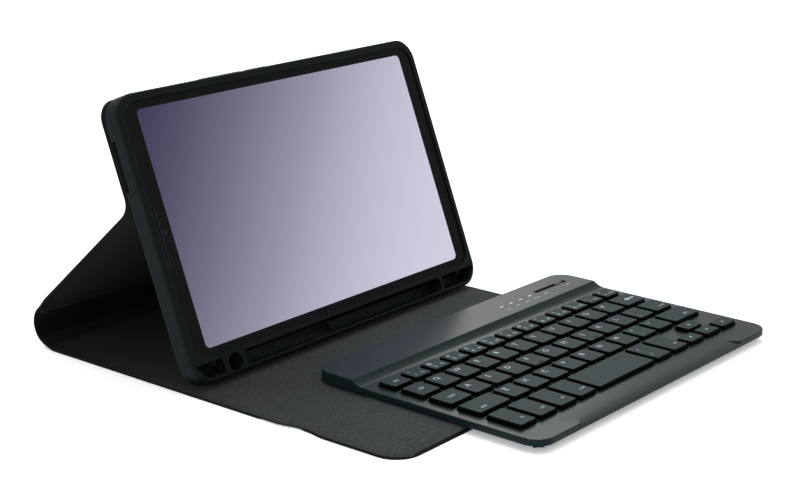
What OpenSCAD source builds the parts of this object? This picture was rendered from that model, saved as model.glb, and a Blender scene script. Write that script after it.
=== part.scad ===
// Tablet keyboard case: a folio cover that folds into a stand, a moulded tray that grips a
// tablet, a closing flap and a slim keyboard that lies loose on the flap.
// Units are millimetres. +X is right, +Y is back and +Z is up. The origin is on the table,
// under the middle of the screen's lower edge.

/* [Tablet] */
// Long side of the tablet
tablet_w = 211; // [209:0.1:211.2]
// Short side of the tablet
tablet_h = 124.7; // [123:0.1:124.8]
// Thickness of the tablet
tablet_t = 8; // [7:0.1:8]
// Corner radius of the tablet
tablet_corner_r = 9.5; // [7:0.5:11]
// Long side of the lit screen
screen_w = 189.7; // [170:0.1:196]
// Short side of the lit screen
screen_h = 113.3; // [100:0.1:115]
// Thickness of the front glass
glass_t = 1.1; // [0.8:0.1:1.6]

/* [Tray] */
// Angle the tray leans back from upright
lean = 21.6; // [18:0.1:25]
// Outer width of the tray
tray_w = 213.6; // [213.2:0.1:216]
// Outer height of the tray
tray_h = 136.8; // [136.4:0.1:140]
// Outer depth of the tray, front to back
tray_d = 10.2; // [10.2:0.1:12]
// Outer corner radius of the tray
tray_corner_r = 11.5; // [9:0.5:14]
// Height of the solid band below the tablet
band_h = 9.8; // [9.6:0.1:12]
// Depth of the lip in front of the glass
lip_t = 0.8; // [0.4:0.1:0.8]
// Depth of the separate front frame that carries the lip
rim_d = 2; // [1.4:0.1:3]
// Width the lip laps over the glass
lip_lap = 2.3; // [1:0.1:4]
// Width of the pen channel in the band
pen_channel_w = 149.5; // [120:0.5:150]
// Height of the pen channel and of the pockets beside it
pen_channel_h = 7.2; // [5:0.1:7.2]
// Diameter of the round hole beside the pen channel
round_hole_d = 8.8; // [6:0.1:8.8]
// Diameter of the rear camera window
camera_window_d = 15; // [12:0.5:18]

/* [Folio] */
// Half of the width of the folio panels
cover_half_w = 106.2; // [104:0.1:108]
// Thickness of the outer leather
skin_t = 0.8; // [0.5:0.1:1.2]
// Thickness of the stiff board
board_t = 1.2; // [1:0.1:2]
// Thickness of the fabric lining
lining_t = 0.6; // [0.4:0.1:1]
// Back fold of the front panel, where the spine starts
spine_fold_y = 98; // [94:0.5:102]
// Front fold of the front panel, where the soft strip starts
strip_fold_y = -43.5; // [-46:0.5:-41]
// Fold between the soft strip and the closing flap
flap_fold_y = -66; // [-70:0.5:-62]
// Front edge of the closing flap
flap_front_y = -121.8; // [-130:0.1:-110]
// Radius of the closing flap's front corners
flap_corner_r = 12.5; // [6:0.5:18]
// Back of the spine's top fold
spine_top_y = 101.4; // [98:0.1:105]
// Height of the spine's top fold
spine_top_z = 22.1; // [18:0.1:26]
// How far the spine bulges out behind its two folds
spine_bulge = 8.1; // [4:0.1:10]
// Height of the crease across the tray's back, along the tray
crease_h = 85.2; // [80:0.1:90]

/* [Keyboard] */
// Width of the keyboard
keyboard_w = 199.1; // [198:0.1:201]
// Depth of the keyboard
keyboard_d = 128.5; // [128:0.1:132]
// Middle of the keyboard across the table
keyboard_x = 38.6; // [0:0.1:50]
// Middle of the keyboard, front to back
keyboard_y = -99.4; // [-104:0.1:-98]
// Turn of the keyboard on the table
keyboard_turn = -0.88; // [-1.5:0.01:1.5]
// Height of the key deck above the keyboard's underside
deck_h = 3.4; // [3.4:0.1:4]
// Height of the rear bar above the keyboard's underside
bar_h = 5.8; // [5.8:0.1:7]
// Corner radius at the front of the keyboard
front_corner_r = 9.5; // [6:0.5:12]
// Corner radius at the back of the keyboard
back_corner_r = 9.5; // [6:0.5:11]
// Half of the width of the key field
key_field_half = 92.9; // [92.5:0.1:94]
// Gap between keys
key_gap = 2.4; // [2:0.1:2.6]
// Height of the key tops above the deck
key_rise = 2; // [1.4:0.1:2.2]
// Width of a letter key
letter_w = 12.9; // [12.4:0.1:13]
// Depth of a letter key
letter_d = 13.3; // [12.6:0.1:13.4]
// Depth of a key in the back row
number_d = 10.4; // [9:0.1:10.6]

/* [Hidden] */
$fn = 48;
overcut = 1;

// Folio: every panel is skin below, board between and lining on top, about a middle plane.
cover_t = skin_t + board_t + lining_t;
mid_z = cover_t / 2;
fold_gap = 1.7;
crease_gap = 3;
turned_edge = 3;
lining_inset = 1.6;
panel_corner_r = 2;
strip_half_w = cover_half_w - 2;
flap_half_w = cover_half_w - 0.6;
strip_skin_t = 0.9;
strip_lining_t = 0.7;
magnet_t = 1;
magnet_w = 22;
magnet_d = 6;

// Spine: an arc through the two folds, bulging backwards.
spine_rise = spine_top_z - mid_z;
spine_run = spine_top_y - spine_fold_y;
spine_chord = sqrt(spine_rise * spine_rise + spine_run * spine_run);
spine_r = (spine_chord * spine_chord / 4 + spine_bulge * spine_bulge) / (2 * spine_bulge);
spine_turn = atan2(spine_rise, spine_run) - 90;
spine_sink = spine_r - spine_bulge;
spine_half_angle = asin(spine_chord / 2 / spine_r) - 9;
spine_centre_y = (spine_fold_y + spine_top_y) / 2 - spine_sink * cos(spine_turn);
spine_centre_z = (mid_z + spine_top_z) / 2 - spine_sink * sin(spine_turn);
spine_skin_t = 0.9;
spine_lining_t = 0.7;

// Tray: local X is across, local Y runs from the lip to the back, local Z runs up the tray.
foot_r = 3;
foot_gap = 0.3;
tray_foot_y = -6.55;
tray_foot_z = cover_t + foot_gap + foot_r - foot_r * cos(lean) + (tray_d - foot_r) * sin(lean);
tablet_fit = 0.15;
close_gap = 0.1;
tablet_front = lip_t + close_gap;
cavity_back = tablet_front + tablet_t + close_gap;
lip_lap_z = 1.7;
lip_corner_r = 8.7;
channel_z = 2.1;
channel_back = 8.4;
channel_x = 0.75;
channel_end_r = 2.5;
pocket_wall = 2.2;
left_pocket = [-cover_half_w, -88];
right_pocket = [77.6, cover_half_w];
stub_w = 1;
stub_top_len = 2.1;
stub_foot_len = 1.2;
left_stub_x = -93.7;
right_stub_x = 90.9;
round_hole_x = -80.5;
round_hole_z = 5.3;
push_out_x = -20;
push_out_w = 28;
side_notch_z = 105.5;
side_notch_h = 24;
side_notch_front = 6.9;
port_window_z = 72.1;
port_window_h = 26;
port_window_front = 2.9;
port_window_back = 7.9;
camera_x = -92;
camera_z = 120.5;
lens_r = 6.2;
lens_t = 0.8;
front_camera_x = -99;
front_camera_z = 71.7;
front_camera_r = 1.8;
front_camera_t = 0.4;
display_t = 0.3;

// Button pads sit in slots through the tray's top wall.
pad_gap = 0.3;
pad_y = 4.9;
pad_d = 3.4;
pad_rise = 0.5;
power_pad_x = -10;
power_pad_w = 13.6;
volume_pad_x = -35;
volume_pad_w = 27;

// Upper panel is glued to the tray's back, above the crease.
upper_back = tray_d + cover_t;
crease_d = tray_d + mid_z;
upper_half_w = cover_half_w + 0.3;
upper_top_z = tray_h - 0.1;
upper_corner_r = 10;

// Crease line in world coordinates, and the lower panel that runs up to it from the spine.
crease_y = tray_foot_y + crease_d * cos(lean) + crease_h * sin(lean);
crease_z = tray_foot_z - crease_d * sin(lean) + crease_h * cos(lean);
lower_rise = crease_z - spine_top_z;
lower_run = spine_top_y - crease_y;
lower_len = sqrt(lower_rise * lower_rise + lower_run * lower_run);
lower_turn = 180 - atan2(lower_rise, lower_run);

// Keyboard: local origin under the middle, Z measured from the table.
foot_t = 0.3;
foot_clear = 0.1;
under_z = cover_t + foot_clear + foot_t;
deck_z = under_z + deck_h;
bar_z = under_z + bar_h;
parting_z = deck_z - 1;
floor_t = 0.6;
shell_wall = 1.65;
front_wall = 6.65;
bar_front = 41;
step_front = 34;
bar_roof_t = 1.3;
bar_roof_front = 43;
recess_half_w = 68;
recess_slope = 3;
recess_d = 5;
recess_drop = 0.85;
key_clear = 0.3;
key_wall = 0.7;
key_skirt_z = deck_z - 0.5;
key_top_z = deck_z + key_rise;
key_corner_r = 1.4;
plate_z = under_z + 0.7;
plate_t = 0.3;
dome_r = 2.8;
dome_t = 2;

// Key rows, each from its first letter key's middle.
letter_pitch = letter_w + key_gap;
number_pitch = 14.4;
number_w = number_pitch - key_gap;
number_first_x = key_field_half - number_w / 2 - 11 * number_pitch;
number_y = 25.6;
top_y = 11;
home_y = -5;
bottom_y = -21;
top_first_x = -70.5;
home_first_x = -68.05;
bottom_first_x = -61.1;
modifier_w = 13;
modifier_pitch = modifier_w + key_gap;
control_front = -49.3;
control_back = -30.3;
control_d = control_back - control_front;
control_y = (control_front + control_back) / 2;
arrow_d = 8.7;
arrow_y = control_front + arrow_d / 2;
up_arrow_y = control_back - arrow_d / 2;
space_x0 = -32.3;
space_x1 = 15;
homing_keys = [3, 6];
homing_w = 3.6;
homing_d = 0.5;
homing_t = 0.15;

// Battery, board and switch live under the rear bar.
battery_x0 = -90;
battery_x1 = 24;
battery_y0 = 43.8;
battery_y1 = 60.5;
battery_z1 = bar_z - bar_roof_t - 0.3;
board_x0 = 27;
board_x1 = 92;
board_y0 = 41.8;
board_y1 = 61;
board_z1 = under_z + 1.7;
port_y = 52;
port_w = 9;
port_h = 3.2;
port_z = under_z + 2.5;
port_len = 6.4;
port_wall = 0.35;
port_setback = 0.2;
tongue_setback = 1;
tongue_w = 6.4;
tongue_h = 0.7;
switch_x0 = 61.4;
switch_x1 = 89;
switch_y = 53;
switch_d = 2.5;
switch_depth = 0.9;
knob_x = 82.8;
knob_w = 6.5;
knob_d = 1.9;
knob_proud = 0.15;
stem_w = 2.4;
stem_d = 1;
stem_slot_x0 = 74;
stem_slot_x1 = 87;
stem_slot_d = 1.6;
light_w = 2.4;
light_d = 1;
light_y = 52;
lights_x = [30.5, 38.8, 47, 55.3];
screws_x = [-94, 0, 94];
screws_y = [-54.2, 38];
screw_head_r = 1.6;
screw_shank_r = 0.75;
screw_boss_r = 2.6;
screw_bite = 0.6;
feet_x = 84;
feet_y = 54;
feet_r = 4;
clip_magnet_x = 46;
clip_magnet_w = 34;
clip_magnet_d = 4.6;
clip_magnet_t = 1.3;
clip_magnet_gap = 0.3;

// Edges of one key: [left, right, middle in Y, depth].
function key_box(x, w, y, d) = [x - w / 2, x + w / 2, y, d];
function key_row(first, count, pitch, w, y, d) =
    [for (i = [0 : count - 1]) key_box(first + i * pitch, w, y, d)];
function left_key(first, y) =
    [[-key_field_half, first - letter_w / 2 - key_gap, y, letter_d]];
function right_key(last, y) =
    [[last + letter_w / 2 + key_gap, key_field_half, y, letter_d]];

number_keys = concat(
    [[-key_field_half, number_first_x - number_w / 2 - key_gap, number_y, number_d]],
    key_row(number_first_x, 12, number_pitch, number_w, number_y, number_d));
top_letters = key_row(top_first_x, 10, letter_pitch, letter_w, top_y, letter_d);
home_letters = key_row(home_first_x, 10, letter_pitch, letter_w, home_y, letter_d);
bottom_letters = key_row(bottom_first_x, 9, letter_pitch, letter_w, bottom_y, letter_d);
tab_key = left_key(top_first_x, top_y);
backspace_key = right_key(top_first_x + 9 * letter_pitch, top_y);
caps_key = left_key(home_first_x, home_y);
enter_key = right_key(home_first_x + 9 * letter_pitch, home_y);
shift_left_key = left_key(bottom_first_x, bottom_y);
shift_right_key = right_key(bottom_first_x + 8 * letter_pitch, bottom_y);
control_first_x = space_x0 - 3 * modifier_pitch;
modifiers_left = concat(
    [[-key_field_half, control_first_x - key_gap, control_y, control_d]],
    key_row(control_first_x + modifier_w / 2, 3, modifier_pitch, modifier_w, control_y,
            control_d));
space_key = [[space_x0, space_x1, control_y, control_d]];
modifiers_right = key_row(space_x1 + key_gap + modifier_w / 2, 2, modifier_pitch, modifier_w,
                          control_y, control_d);
arrow_x = space_x1 + key_gap + 2 * modifier_pitch + modifier_w / 2;
arrow_left_key = [key_box(arrow_x, modifier_w, arrow_y, arrow_d)];
arrow_down_key = [key_box(arrow_x + modifier_pitch, modifier_w, arrow_y, arrow_d)];
arrow_up_key = [key_box(arrow_x + modifier_pitch, modifier_w, up_arrow_y, arrow_d)];
arrow_right_key = [key_box(arrow_x + 2 * modifier_pitch, modifier_w, arrow_y, arrow_d)];
all_keys = concat(number_keys, top_letters, home_letters, bottom_letters, tab_key,
                  backspace_key, caps_key, enter_key, shift_left_key, shift_right_key,
                  modifiers_left, space_key, modifiers_right, arrow_left_key,
                  arrow_down_key, arrow_up_key, arrow_right_key);

leather = "#191a1c";
fabric = "#3e403e";
board_grey = "#8a8378";
tray_black = "#20292d";
steel = "#b8bcc0";
shell_grey = "#464e50";
key_grey = "#58605f";

// Flat outline between y0 and y1, with one corner radius at y0 and another at y1.
module outline(half_w, y0, y1, r0, r1) {
    translate([-half_w, y0 + r0]) square([2 * half_w, y1 - y0 - r0 - r1]);
    translate([r0 - half_w, y0]) square([2 * (half_w - r0), r0 + r1]);
    translate([r1 - half_w, y1 - r0 - r1]) square([2 * (half_w - r1), r0 + r1]);
    for (side = [-1, 1]) {
        translate([side * (half_w - r0), y0 + r0]) circle(r0);
        translate([side * (half_w - r1), y1 - r1]) circle(r1);
    }
}

// The same outline drawn smaller by an even inset.
module inset_outline(half_w, y0, y1, r0, r1, inset) {
    outline(half_w - inset, y0 + inset, y1 - inset, max(r0 - inset, 0.5), max(r1 - inset, 0.5));
}

module rounded_slot(w, h) {
    square([w - h, h], center = true);
    for (side = [-1, 1])
        translate([side * (w - h) / 2, 0]) circle(h / 2);
}

// Extrudes an X-Z outline from y0 to y1.
module along_y(y0, y1) {
    translate([0, y1, 0]) rotate([90, 0, 0]) linear_extrude(y1 - y0) children();
}

// Extrudes a Y-Z outline across X, about the middle.
module along_x(w) {
    rotate([90, 0, 90]) linear_extrude(w, center = true) children();
}

module block(x0, x1, y0, y1, z0, z1) {
    translate([x0, y0, z0]) cube([x1 - x0, y1 - y0, z1 - z0]);
}

module at_tray() {
    translate([0, tray_foot_y, tray_foot_z]) rotate([-lean, 0, 0]) children();
}

module at_keyboard() {
    translate([keyboard_x, keyboard_y, 0]) rotate([0, 0, keyboard_turn]) children();
}

// Lower panel frame: local Y runs from the spine to the crease, local +Z faces inwards.
module at_lower_panel() {
    translate([0, spine_top_y, spine_top_z]) rotate([lower_turn, 0, 0]) children();
}

// Leather turned up around a board.
module turned_skin(half_w, y0, y1, r0, r1) {
    difference() {
        linear_extrude(skin_t + board_t) outline(half_w, y0, y1, r0, r1);
        translate([0, 0, skin_t]) linear_extrude(board_t + overcut)
            inset_outline(half_w, y0, y1, r0, r1, turned_edge);
    }
}

module stiff_board(half_w, y0, y1, r0, r1) {
    translate([0, 0, skin_t]) linear_extrude(board_t)
        inset_outline(half_w, y0, y1, r0, r1, turned_edge);
}

module lining_sheet(half_w, y0, y1, r0, r1) {
    translate([0, 0, skin_t + board_t]) linear_extrude(lining_t)
        inset_outline(half_w, y0, y1, r0, r1, lining_inset);
}

module magnet_row(y, z0, spread) {
    for (x = [-spread, 0, spread])
        block(x - magnet_w / 2, x + magnet_w / 2, y - magnet_d / 2, y + magnet_d / 2, z0,
              z0 + magnet_t);
}

// Front panel, flat on the table.
front_y0 = strip_fold_y + fold_gap;
front_y1 = spine_fold_y - fold_gap;
cover_magnet_y = -28;
cover_magnet_spread = 62;

module front_cover_skin() {
    color(leather)
        turned_skin(cover_half_w, front_y0, front_y1, panel_corner_r, panel_corner_r);
}

module cover_magnet_bars() {
    magnet_row(cover_magnet_y, skin_t + board_t - magnet_t, cover_magnet_spread);
}

module front_cover_board() {
    color(board_grey) difference() {
        stiff_board(cover_half_w, front_y0, front_y1, panel_corner_r, panel_corner_r);
        cover_magnet_bars();
    }
}

module front_cover_lining() {
    color(fabric)
        lining_sheet(cover_half_w, front_y0, front_y1, panel_corner_r, panel_corner_r);
}

module cover_magnets() {
    color(steel) cover_magnet_bars();
}

// Spine, an arc of leather with its own lining.
module spine_arc(outer_r, wall) {
    reach = 2 * outer_r;
    translate([0, spine_centre_y, spine_centre_z]) rotate([spine_turn, 0, 0])
        along_x(2 * cover_half_w) intersection() {
            difference() {
                circle(outer_r);
                circle(outer_r - wall);
            }
            polygon([
                [0, 0],
                [reach * cos(spine_half_angle), -reach * sin(spine_half_angle)],
                [2 * reach, 0],
                [reach * cos(spine_half_angle), reach * sin(spine_half_angle)]
            ]);
        }
}

module spine_skin() {
    color(leather) spine_arc(spine_r, spine_skin_t);
}

module spine_lining() {
    color(fabric) spine_arc(spine_r - spine_skin_t, spine_lining_t);
}

// Lower back panel, from the spine up to the crease.
lower_y0 = fold_gap;
lower_y1 = lower_len - crease_gap;

module lower_panel_frame() {
    at_lower_panel() translate([0, 0, -mid_z]) children();
}

module lower_panel_skin() {
    color(leather) lower_panel_frame()
        turned_skin(cover_half_w, lower_y0, lower_y1, panel_corner_r, panel_corner_r);
}

module lower_panel_board() {
    color(board_grey) lower_panel_frame()
        stiff_board(cover_half_w, lower_y0, lower_y1, panel_corner_r, panel_corner_r);
}

module lower_panel_lining() {
    color(fabric) lower_panel_frame()
        lining_sheet(cover_half_w, lower_y0, lower_y1, panel_corner_r, panel_corner_r);
}

// Upper back panel, on the tray's back, with a window for the rear camera.
upper_z0 = crease_h + fold_gap;

module camera_cut(r) {
    translate([camera_x, 0, camera_z]) rotate([90, 0, 0]) cylinder(h = 60, r = r, center = true);
}

module upper_panel_skin() {
    color(leather) at_tray() difference() {
        along_y(tray_d, upper_back)
            outline(upper_half_w, upper_z0, upper_top_z, panel_corner_r, upper_corner_r);
        along_y(tray_d - overcut, upper_back - skin_t)
            inset_outline(upper_half_w, upper_z0, upper_top_z, panel_corner_r, upper_corner_r,
                          turned_edge);
        camera_cut(camera_window_d / 2);
    }
}

module upper_panel_board() {
    color(board_grey) at_tray() difference() {
        along_y(tray_d, upper_back - skin_t)
            inset_outline(upper_half_w, upper_z0, upper_top_z, panel_corner_r, upper_corner_r,
                          turned_edge);
        camera_cut(camera_window_d / 2);
    }
}

// Soft strip between the front panel and the closing flap: leather and lining, no board.
strip_y0 = flap_fold_y + fold_gap;
strip_y1 = strip_fold_y - fold_gap;
strip_z = mid_z - (strip_skin_t + strip_lining_t) / 2;

module flap_strip_skin() {
    color(leather) translate([0, 0, strip_z]) linear_extrude(strip_skin_t)
        outline(strip_half_w, strip_y0, strip_y1, panel_corner_r, panel_corner_r);
}

module flap_strip_lining() {
    color(fabric) translate([0, 0, strip_z + strip_skin_t]) linear_extrude(strip_lining_t)
        outline(strip_half_w, strip_y0, strip_y1, panel_corner_r, panel_corner_r);
}

// Closing flap.
flap_y1 = flap_fold_y - fold_gap;
flap_magnet_y = -108;

module flap_magnet_bars() {
    magnet_row(flap_magnet_y, skin_t + board_t - magnet_t, cover_magnet_spread);
}

module flap_skin() {
    color(leather)
        turned_skin(flap_half_w, flap_front_y, flap_y1, flap_corner_r, panel_corner_r);
}

module flap_board() {
    color(board_grey) difference() {
        stiff_board(flap_half_w, flap_front_y, flap_y1, flap_corner_r, panel_corner_r);
        flap_magnet_bars();
    }
}

module flap_lining() {
    color(fabric)
        lining_sheet(flap_half_w, flap_front_y, flap_y1, flap_corner_r, panel_corner_r);
}

module flap_magnets() {
    color(steel) flap_magnet_bars();
}

// Tray.
tray_half_w = tray_w / 2;
tablet_half_w = tablet_w / 2;
tablet_z0 = band_h;
tablet_z1 = band_h + tablet_h;

module tray_block(y0, y1) {
    intersection() {
        along_y(y0, y1) outline(tray_half_w, 0, tray_h, tray_corner_r, tray_corner_r);
        along_x(tray_w + overcut) difference() {
            translate([0, -overcut]) square([tray_d, tray_h + 2 * overcut]);
            translate([tray_d - foot_r, -overcut]) square([foot_r + overcut, foot_r + overcut]);
        }
    }
    intersection() {
        along_y(y0, y1) outline(tray_half_w, 0, tray_h, tray_corner_r, tray_corner_r);
        along_x(tray_w + overcut) translate([tray_d - foot_r, foot_r]) circle(foot_r);
    }
}

module tablet_cavity() {
    along_y(lip_t, cavity_back)
        outline(tablet_half_w + tablet_fit, tablet_z0 - tablet_fit, tablet_z1 + tablet_fit,
                tablet_corner_r, tablet_corner_r);
}

module lip_opening() {
    along_y(-overcut, lip_t + overcut)
        outline(tablet_half_w - lip_lap, tablet_z0 + lip_lap_z, tablet_z1 - lip_lap_z,
                lip_corner_r, lip_corner_r);
}

// One end pocket: the part of the band inside its wall, with two short stubs.
module end_pocket(limits, stub_x) {
    along_y(-overcut, channel_back) difference() {
        intersection() {
            inset_outline(tray_half_w, 0, tray_h, tray_corner_r, tray_corner_r, pocket_wall);
            translate([limits[0], channel_z])
                square([limits[1] - limits[0], pen_channel_h]);
        }
        translate([stub_x - stub_w / 2, channel_z - overcut])
            square([stub_w, stub_foot_len + overcut]);
        translate([stub_x - stub_w / 2, channel_z + pen_channel_h - stub_top_len])
            square([stub_w, stub_top_len + overcut]);
    }
}

module band_openings() {
    along_y(-overcut, channel_back) translate([channel_x, 0])
        outline(pen_channel_w / 2, channel_z, channel_z + pen_channel_h, channel_end_r,
                channel_end_r);
    end_pocket(left_pocket, left_stub_x);
    end_pocket(right_pocket, right_stub_x);
    translate([round_hole_x, channel_back, round_hole_z]) rotate([90, 0, 0])
        cylinder(h = channel_back + overcut, r = round_hole_d / 2);
}

module pad_slot(x, w) {
    block(x - w / 2 - pad_gap, x + w / 2 + pad_gap, pad_y - pad_d / 2 - pad_gap,
          pad_y + pad_d / 2 + pad_gap, tablet_z1, tray_h + overcut);
}

module button_pad(x, w) {
    top = tray_h + pad_rise;
    low = tablet_z1 + pad_rise + pad_gap;
    block(x - w / 2, x + w / 2, pad_y - pad_d / 2, pad_y + pad_d / 2, low, top);
}

module tray_shell() {
    color(tray_black) at_tray() difference() {
        tray_block(rim_d, tray_d);
        tablet_cavity();
        band_openings();
        pad_slot(power_pad_x, power_pad_w);
        pad_slot(volume_pad_x, volume_pad_w);
        camera_cut(camera_window_d / 2);
        block(push_out_x - push_out_w / 2, push_out_x + push_out_w / 2, channel_back - overcut,
              tray_d + overcut, channel_z, channel_z + pen_channel_h - foot_r);
        block(-tray_half_w - overcut, -tablet_half_w + overcut, side_notch_front,
              tray_d + overcut, side_notch_z - side_notch_h / 2,
              side_notch_z + side_notch_h / 2);
        block(tablet_half_w - overcut, tray_half_w + overcut, port_window_front,
              port_window_back, port_window_z - port_window_h / 2,
              port_window_z + port_window_h / 2);
    }
}

module tray_rim() {
    color(tray_black) at_tray() difference() {
        tray_block(0, rim_d);
        tablet_cavity();
        lip_opening();
        band_openings();
    }
}

module tray_power_pad() {
    color(tray_black) at_tray() button_pad(power_pad_x, power_pad_w);
}

module tray_volume_pad() {
    color(tray_black) at_tray() button_pad(volume_pad_x, volume_pad_w);
}

// Tablet, inside the tray.
glass_back = tablet_front + glass_t;
screen_z = (tablet_z0 + tablet_z1) / 2;

module tablet_outline() {
    outline(tablet_half_w, tablet_z0, tablet_z1, tablet_corner_r, tablet_corner_r);
}

module tablet_display() {
    color("#3b3560") at_tray()
        block(-screen_w / 2, screen_w / 2, glass_back, glass_back + display_t,
              screen_z - screen_h / 2, screen_z + screen_h / 2);
}

module tablet_front_camera() {
    color("#0c0e12") at_tray() translate([front_camera_x, glass_back + front_camera_t,
                                          front_camera_z])
        rotate([90, 0, 0]) cylinder(h = front_camera_t, r = front_camera_r);
}

module tablet_housing() {
    color("#5b6066") at_tray() difference() {
        along_y(glass_back, tablet_front + tablet_t) tablet_outline();
        block(-screen_w / 2, screen_w / 2, glass_back - overcut, glass_back + display_t,
              screen_z - screen_h / 2, screen_z + screen_h / 2);
        translate([front_camera_x, glass_back + front_camera_t, front_camera_z])
            rotate([90, 0, 0]) cylinder(h = front_camera_t + overcut, r = front_camera_r);
    }
}

module tablet_glass() {
    color("#1c1c1c") at_tray() along_y(tablet_front, glass_back) tablet_outline();
}

module tablet_rear_camera() {
    color("#15171a") at_tray()
        translate([camera_x, tablet_front + tablet_t + lens_t, camera_z]) rotate([90, 0, 0])
            cylinder(h = lens_t, r = lens_r);
}

// Keyboard shells.
half_d = keyboard_d / 2;
keyboard_half_w = keyboard_w / 2;

module keyboard_outline(inset) {
    inset_outline(keyboard_half_w, -half_d, half_d, front_corner_r, back_corner_r, inset);
}

// Deck profile with the concave step that rises to the rear bar.
module deck_profile(low_z, drop) {
    step_rise = bar_z - deck_z;
    step_run = bar_front - step_front;
    polygon(concat(
        [[-half_d, low_z], [-half_d, deck_z - drop]],
        [for (i = [0 : 6])
            [step_front + step_run * i / 6, deck_z - drop + step_rise * i * i / 36]],
        [[half_d, bar_z - drop], [half_d, low_z]]
    ));
}

// Slope for a finger: the deck's front edge falls towards the parting line.
module finger_recess() {
    fall = recess_drop / recess_d;
    intersection() {
        along_x(keyboard_w) polygon([
            [recess_d - half_d, deck_z],
            [-half_d - overcut, deck_z - recess_drop - fall * overcut],
            [-half_d - overcut, deck_z + overcut],
            [recess_d - half_d, deck_z + overcut]
        ]);
        linear_extrude(2 * bar_z) polygon([
            [-recess_half_w - recess_slope, -half_d - overcut],
            [recess_half_w + recess_slope, -half_d - overcut],
            [recess_half_w - recess_slope, recess_d - half_d + overcut],
            [recess_slope - recess_half_w, recess_d - half_d + overcut]
        ]);
    }
}

module screw_holes(r, z0, z1) {
    for (x = screws_x)
        for (y = screws_y)
            translate([x, y, z0]) cylinder(h = z1 - z0, r = r);
}

module port_solid(w, h, x0, x1) {
    translate([x0, port_y, port_z]) rotate([90, 0, 90]) linear_extrude(x1 - x0)
        rounded_slot(w, h);
}

module keyboard_top_shell() {
    color(shell_grey) at_keyboard() difference() {
        intersection() {
            along_x(keyboard_w) deck_profile(parting_z, 0);
            linear_extrude(bar_z + overcut) keyboard_outline(0);
        }
        intersection() {
            block(-keyboard_half_w, keyboard_half_w, bar_roof_front, half_d, 0,
                  bar_z - bar_roof_t);
            linear_extrude(bar_z) keyboard_outline(shell_wall);
        }
        finger_recess();
        for (key = all_keys)
            block(key[0] - key_clear, key[1] + key_clear, key[2] - key[3] / 2 - key_clear,
                  key[2] + key[3] / 2 + key_clear, parting_z - overcut, deck_z + overcut);
        screw_holes(screw_shank_r, parting_z - overcut, parting_z + screw_bite);
        port_solid(port_w, port_h, keyboard_half_w - 2 * shell_wall,
                   keyboard_half_w + overcut);
        block(switch_x0, switch_x1, switch_y - switch_d / 2, switch_y + switch_d / 2,
              bar_z - switch_depth, bar_z + overcut);
        block(stem_slot_x0, stem_slot_x1, switch_y - stem_slot_d / 2,
              switch_y + stem_slot_d / 2, bar_z - 2 * bar_roof_t, bar_z);
        for (x = lights_x)
            block(x - light_w / 2, x + light_w / 2, light_y - light_d / 2,
                  light_y + light_d / 2, bar_z - 2 * bar_roof_t, bar_z + overcut);
    }
}

module keyboard_bottom_shell() {
    color(shell_grey) at_keyboard() difference() {
        translate([0, 0, under_z]) linear_extrude(parting_z - under_z) keyboard_outline(0);
        difference() {
            translate([0, 0, under_z + floor_t]) linear_extrude(deck_h)
                intersection() {
                    keyboard_outline(shell_wall);
                    translate([-keyboard_half_w, front_wall - half_d])
                        square([keyboard_w, keyboard_d]);
                }
            screw_holes(screw_boss_r, under_z, parting_z);
        }
        screw_holes(screw_head_r, under_z - overcut, under_z + floor_t);
        screw_holes(screw_shank_r, under_z, parting_z + overcut);
        port_solid(port_w, port_h, keyboard_half_w - 2 * shell_wall,
                   keyboard_half_w + overcut);
    }
}

// Working parts under the keys.
plate_half_w = 90.5;
plate_y0 = -50;
plate_y1 = 34;

module key_support_plate() {
    color(steel) at_keyboard()
        block(-plate_half_w, plate_half_w, plate_y0, plate_y1, plate_z, plate_z + plate_t);
}

module key_membrane() {
    color("#c9ccc4") at_keyboard()
        block(-plate_half_w, plate_half_w, plate_y0, plate_y1, plate_z + plate_t,
              plate_z + 2 * plate_t);
}

module key_domes() {
    color("#e0e0dc") at_keyboard()
        for (key = all_keys)
            translate([(key[0] + key[1]) / 2, key[2], plate_z + 2 * plate_t])
                cylinder(h = dome_t, r = dome_r);
}

module circuit_board() {
    color("#2c5a3c") at_keyboard()
        block(board_x0, board_x1, board_y0, board_y1, under_z + floor_t, board_z1);
}

module battery() {
    color("#9a9ca0") at_keyboard()
        block(battery_x0, battery_x1, battery_y0, battery_y1, under_z + floor_t, battery_z1);
}

module charging_port() {
    port_x1 = keyboard_half_w - port_setback;
    port_x0 = port_x1 - port_len;
    color(steel) at_keyboard() {
        difference() {
            port_solid(port_w, port_h, port_x0, port_x1);
            port_solid(port_w - 2 * port_wall, port_h - 2 * port_wall, port_x0 + port_wall,
                       port_x1 + overcut);
        }
        block(port_x0 + port_wall, port_x1 - tongue_setback, port_y - tongue_w / 2, port_y + tongue_w / 2,
              port_z - tongue_h / 2, port_z + tongue_h / 2);
    }
}

module status_lights() {
    color("#dfe6e8") at_keyboard()
        for (x = lights_x)
            block(x - light_w / 2, x + light_w / 2, light_y - light_d / 2,
                  light_y + light_d / 2, bar_z - bar_roof_t, bar_z);
}

module keyboard_feet() {
    color("#1a1a1a") at_keyboard()
        for (x = [-feet_x, feet_x])
            for (y = [-feet_y, feet_y])
                translate([x, y, under_z - foot_t]) cylinder(h = foot_t, r = feet_r);
}

module keyboard_screws() {
    color(steel) at_keyboard() {
        screw_holes(screw_head_r, under_z, under_z + floor_t);
        screw_holes(screw_shank_r, under_z + floor_t, parting_z + screw_bite);
    }
}

module keyboard_magnets() {
    magnet_y0 = front_wall - half_d + clip_magnet_gap;
    color(steel) at_keyboard()
        for (side = [-1, 1])
            block(side * clip_magnet_x - clip_magnet_w / 2,
                  side * clip_magnet_x + clip_magnet_w / 2, magnet_y0,
                  magnet_y0 + clip_magnet_d, under_z + floor_t,
                  under_z + floor_t + clip_magnet_t);
}

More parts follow.
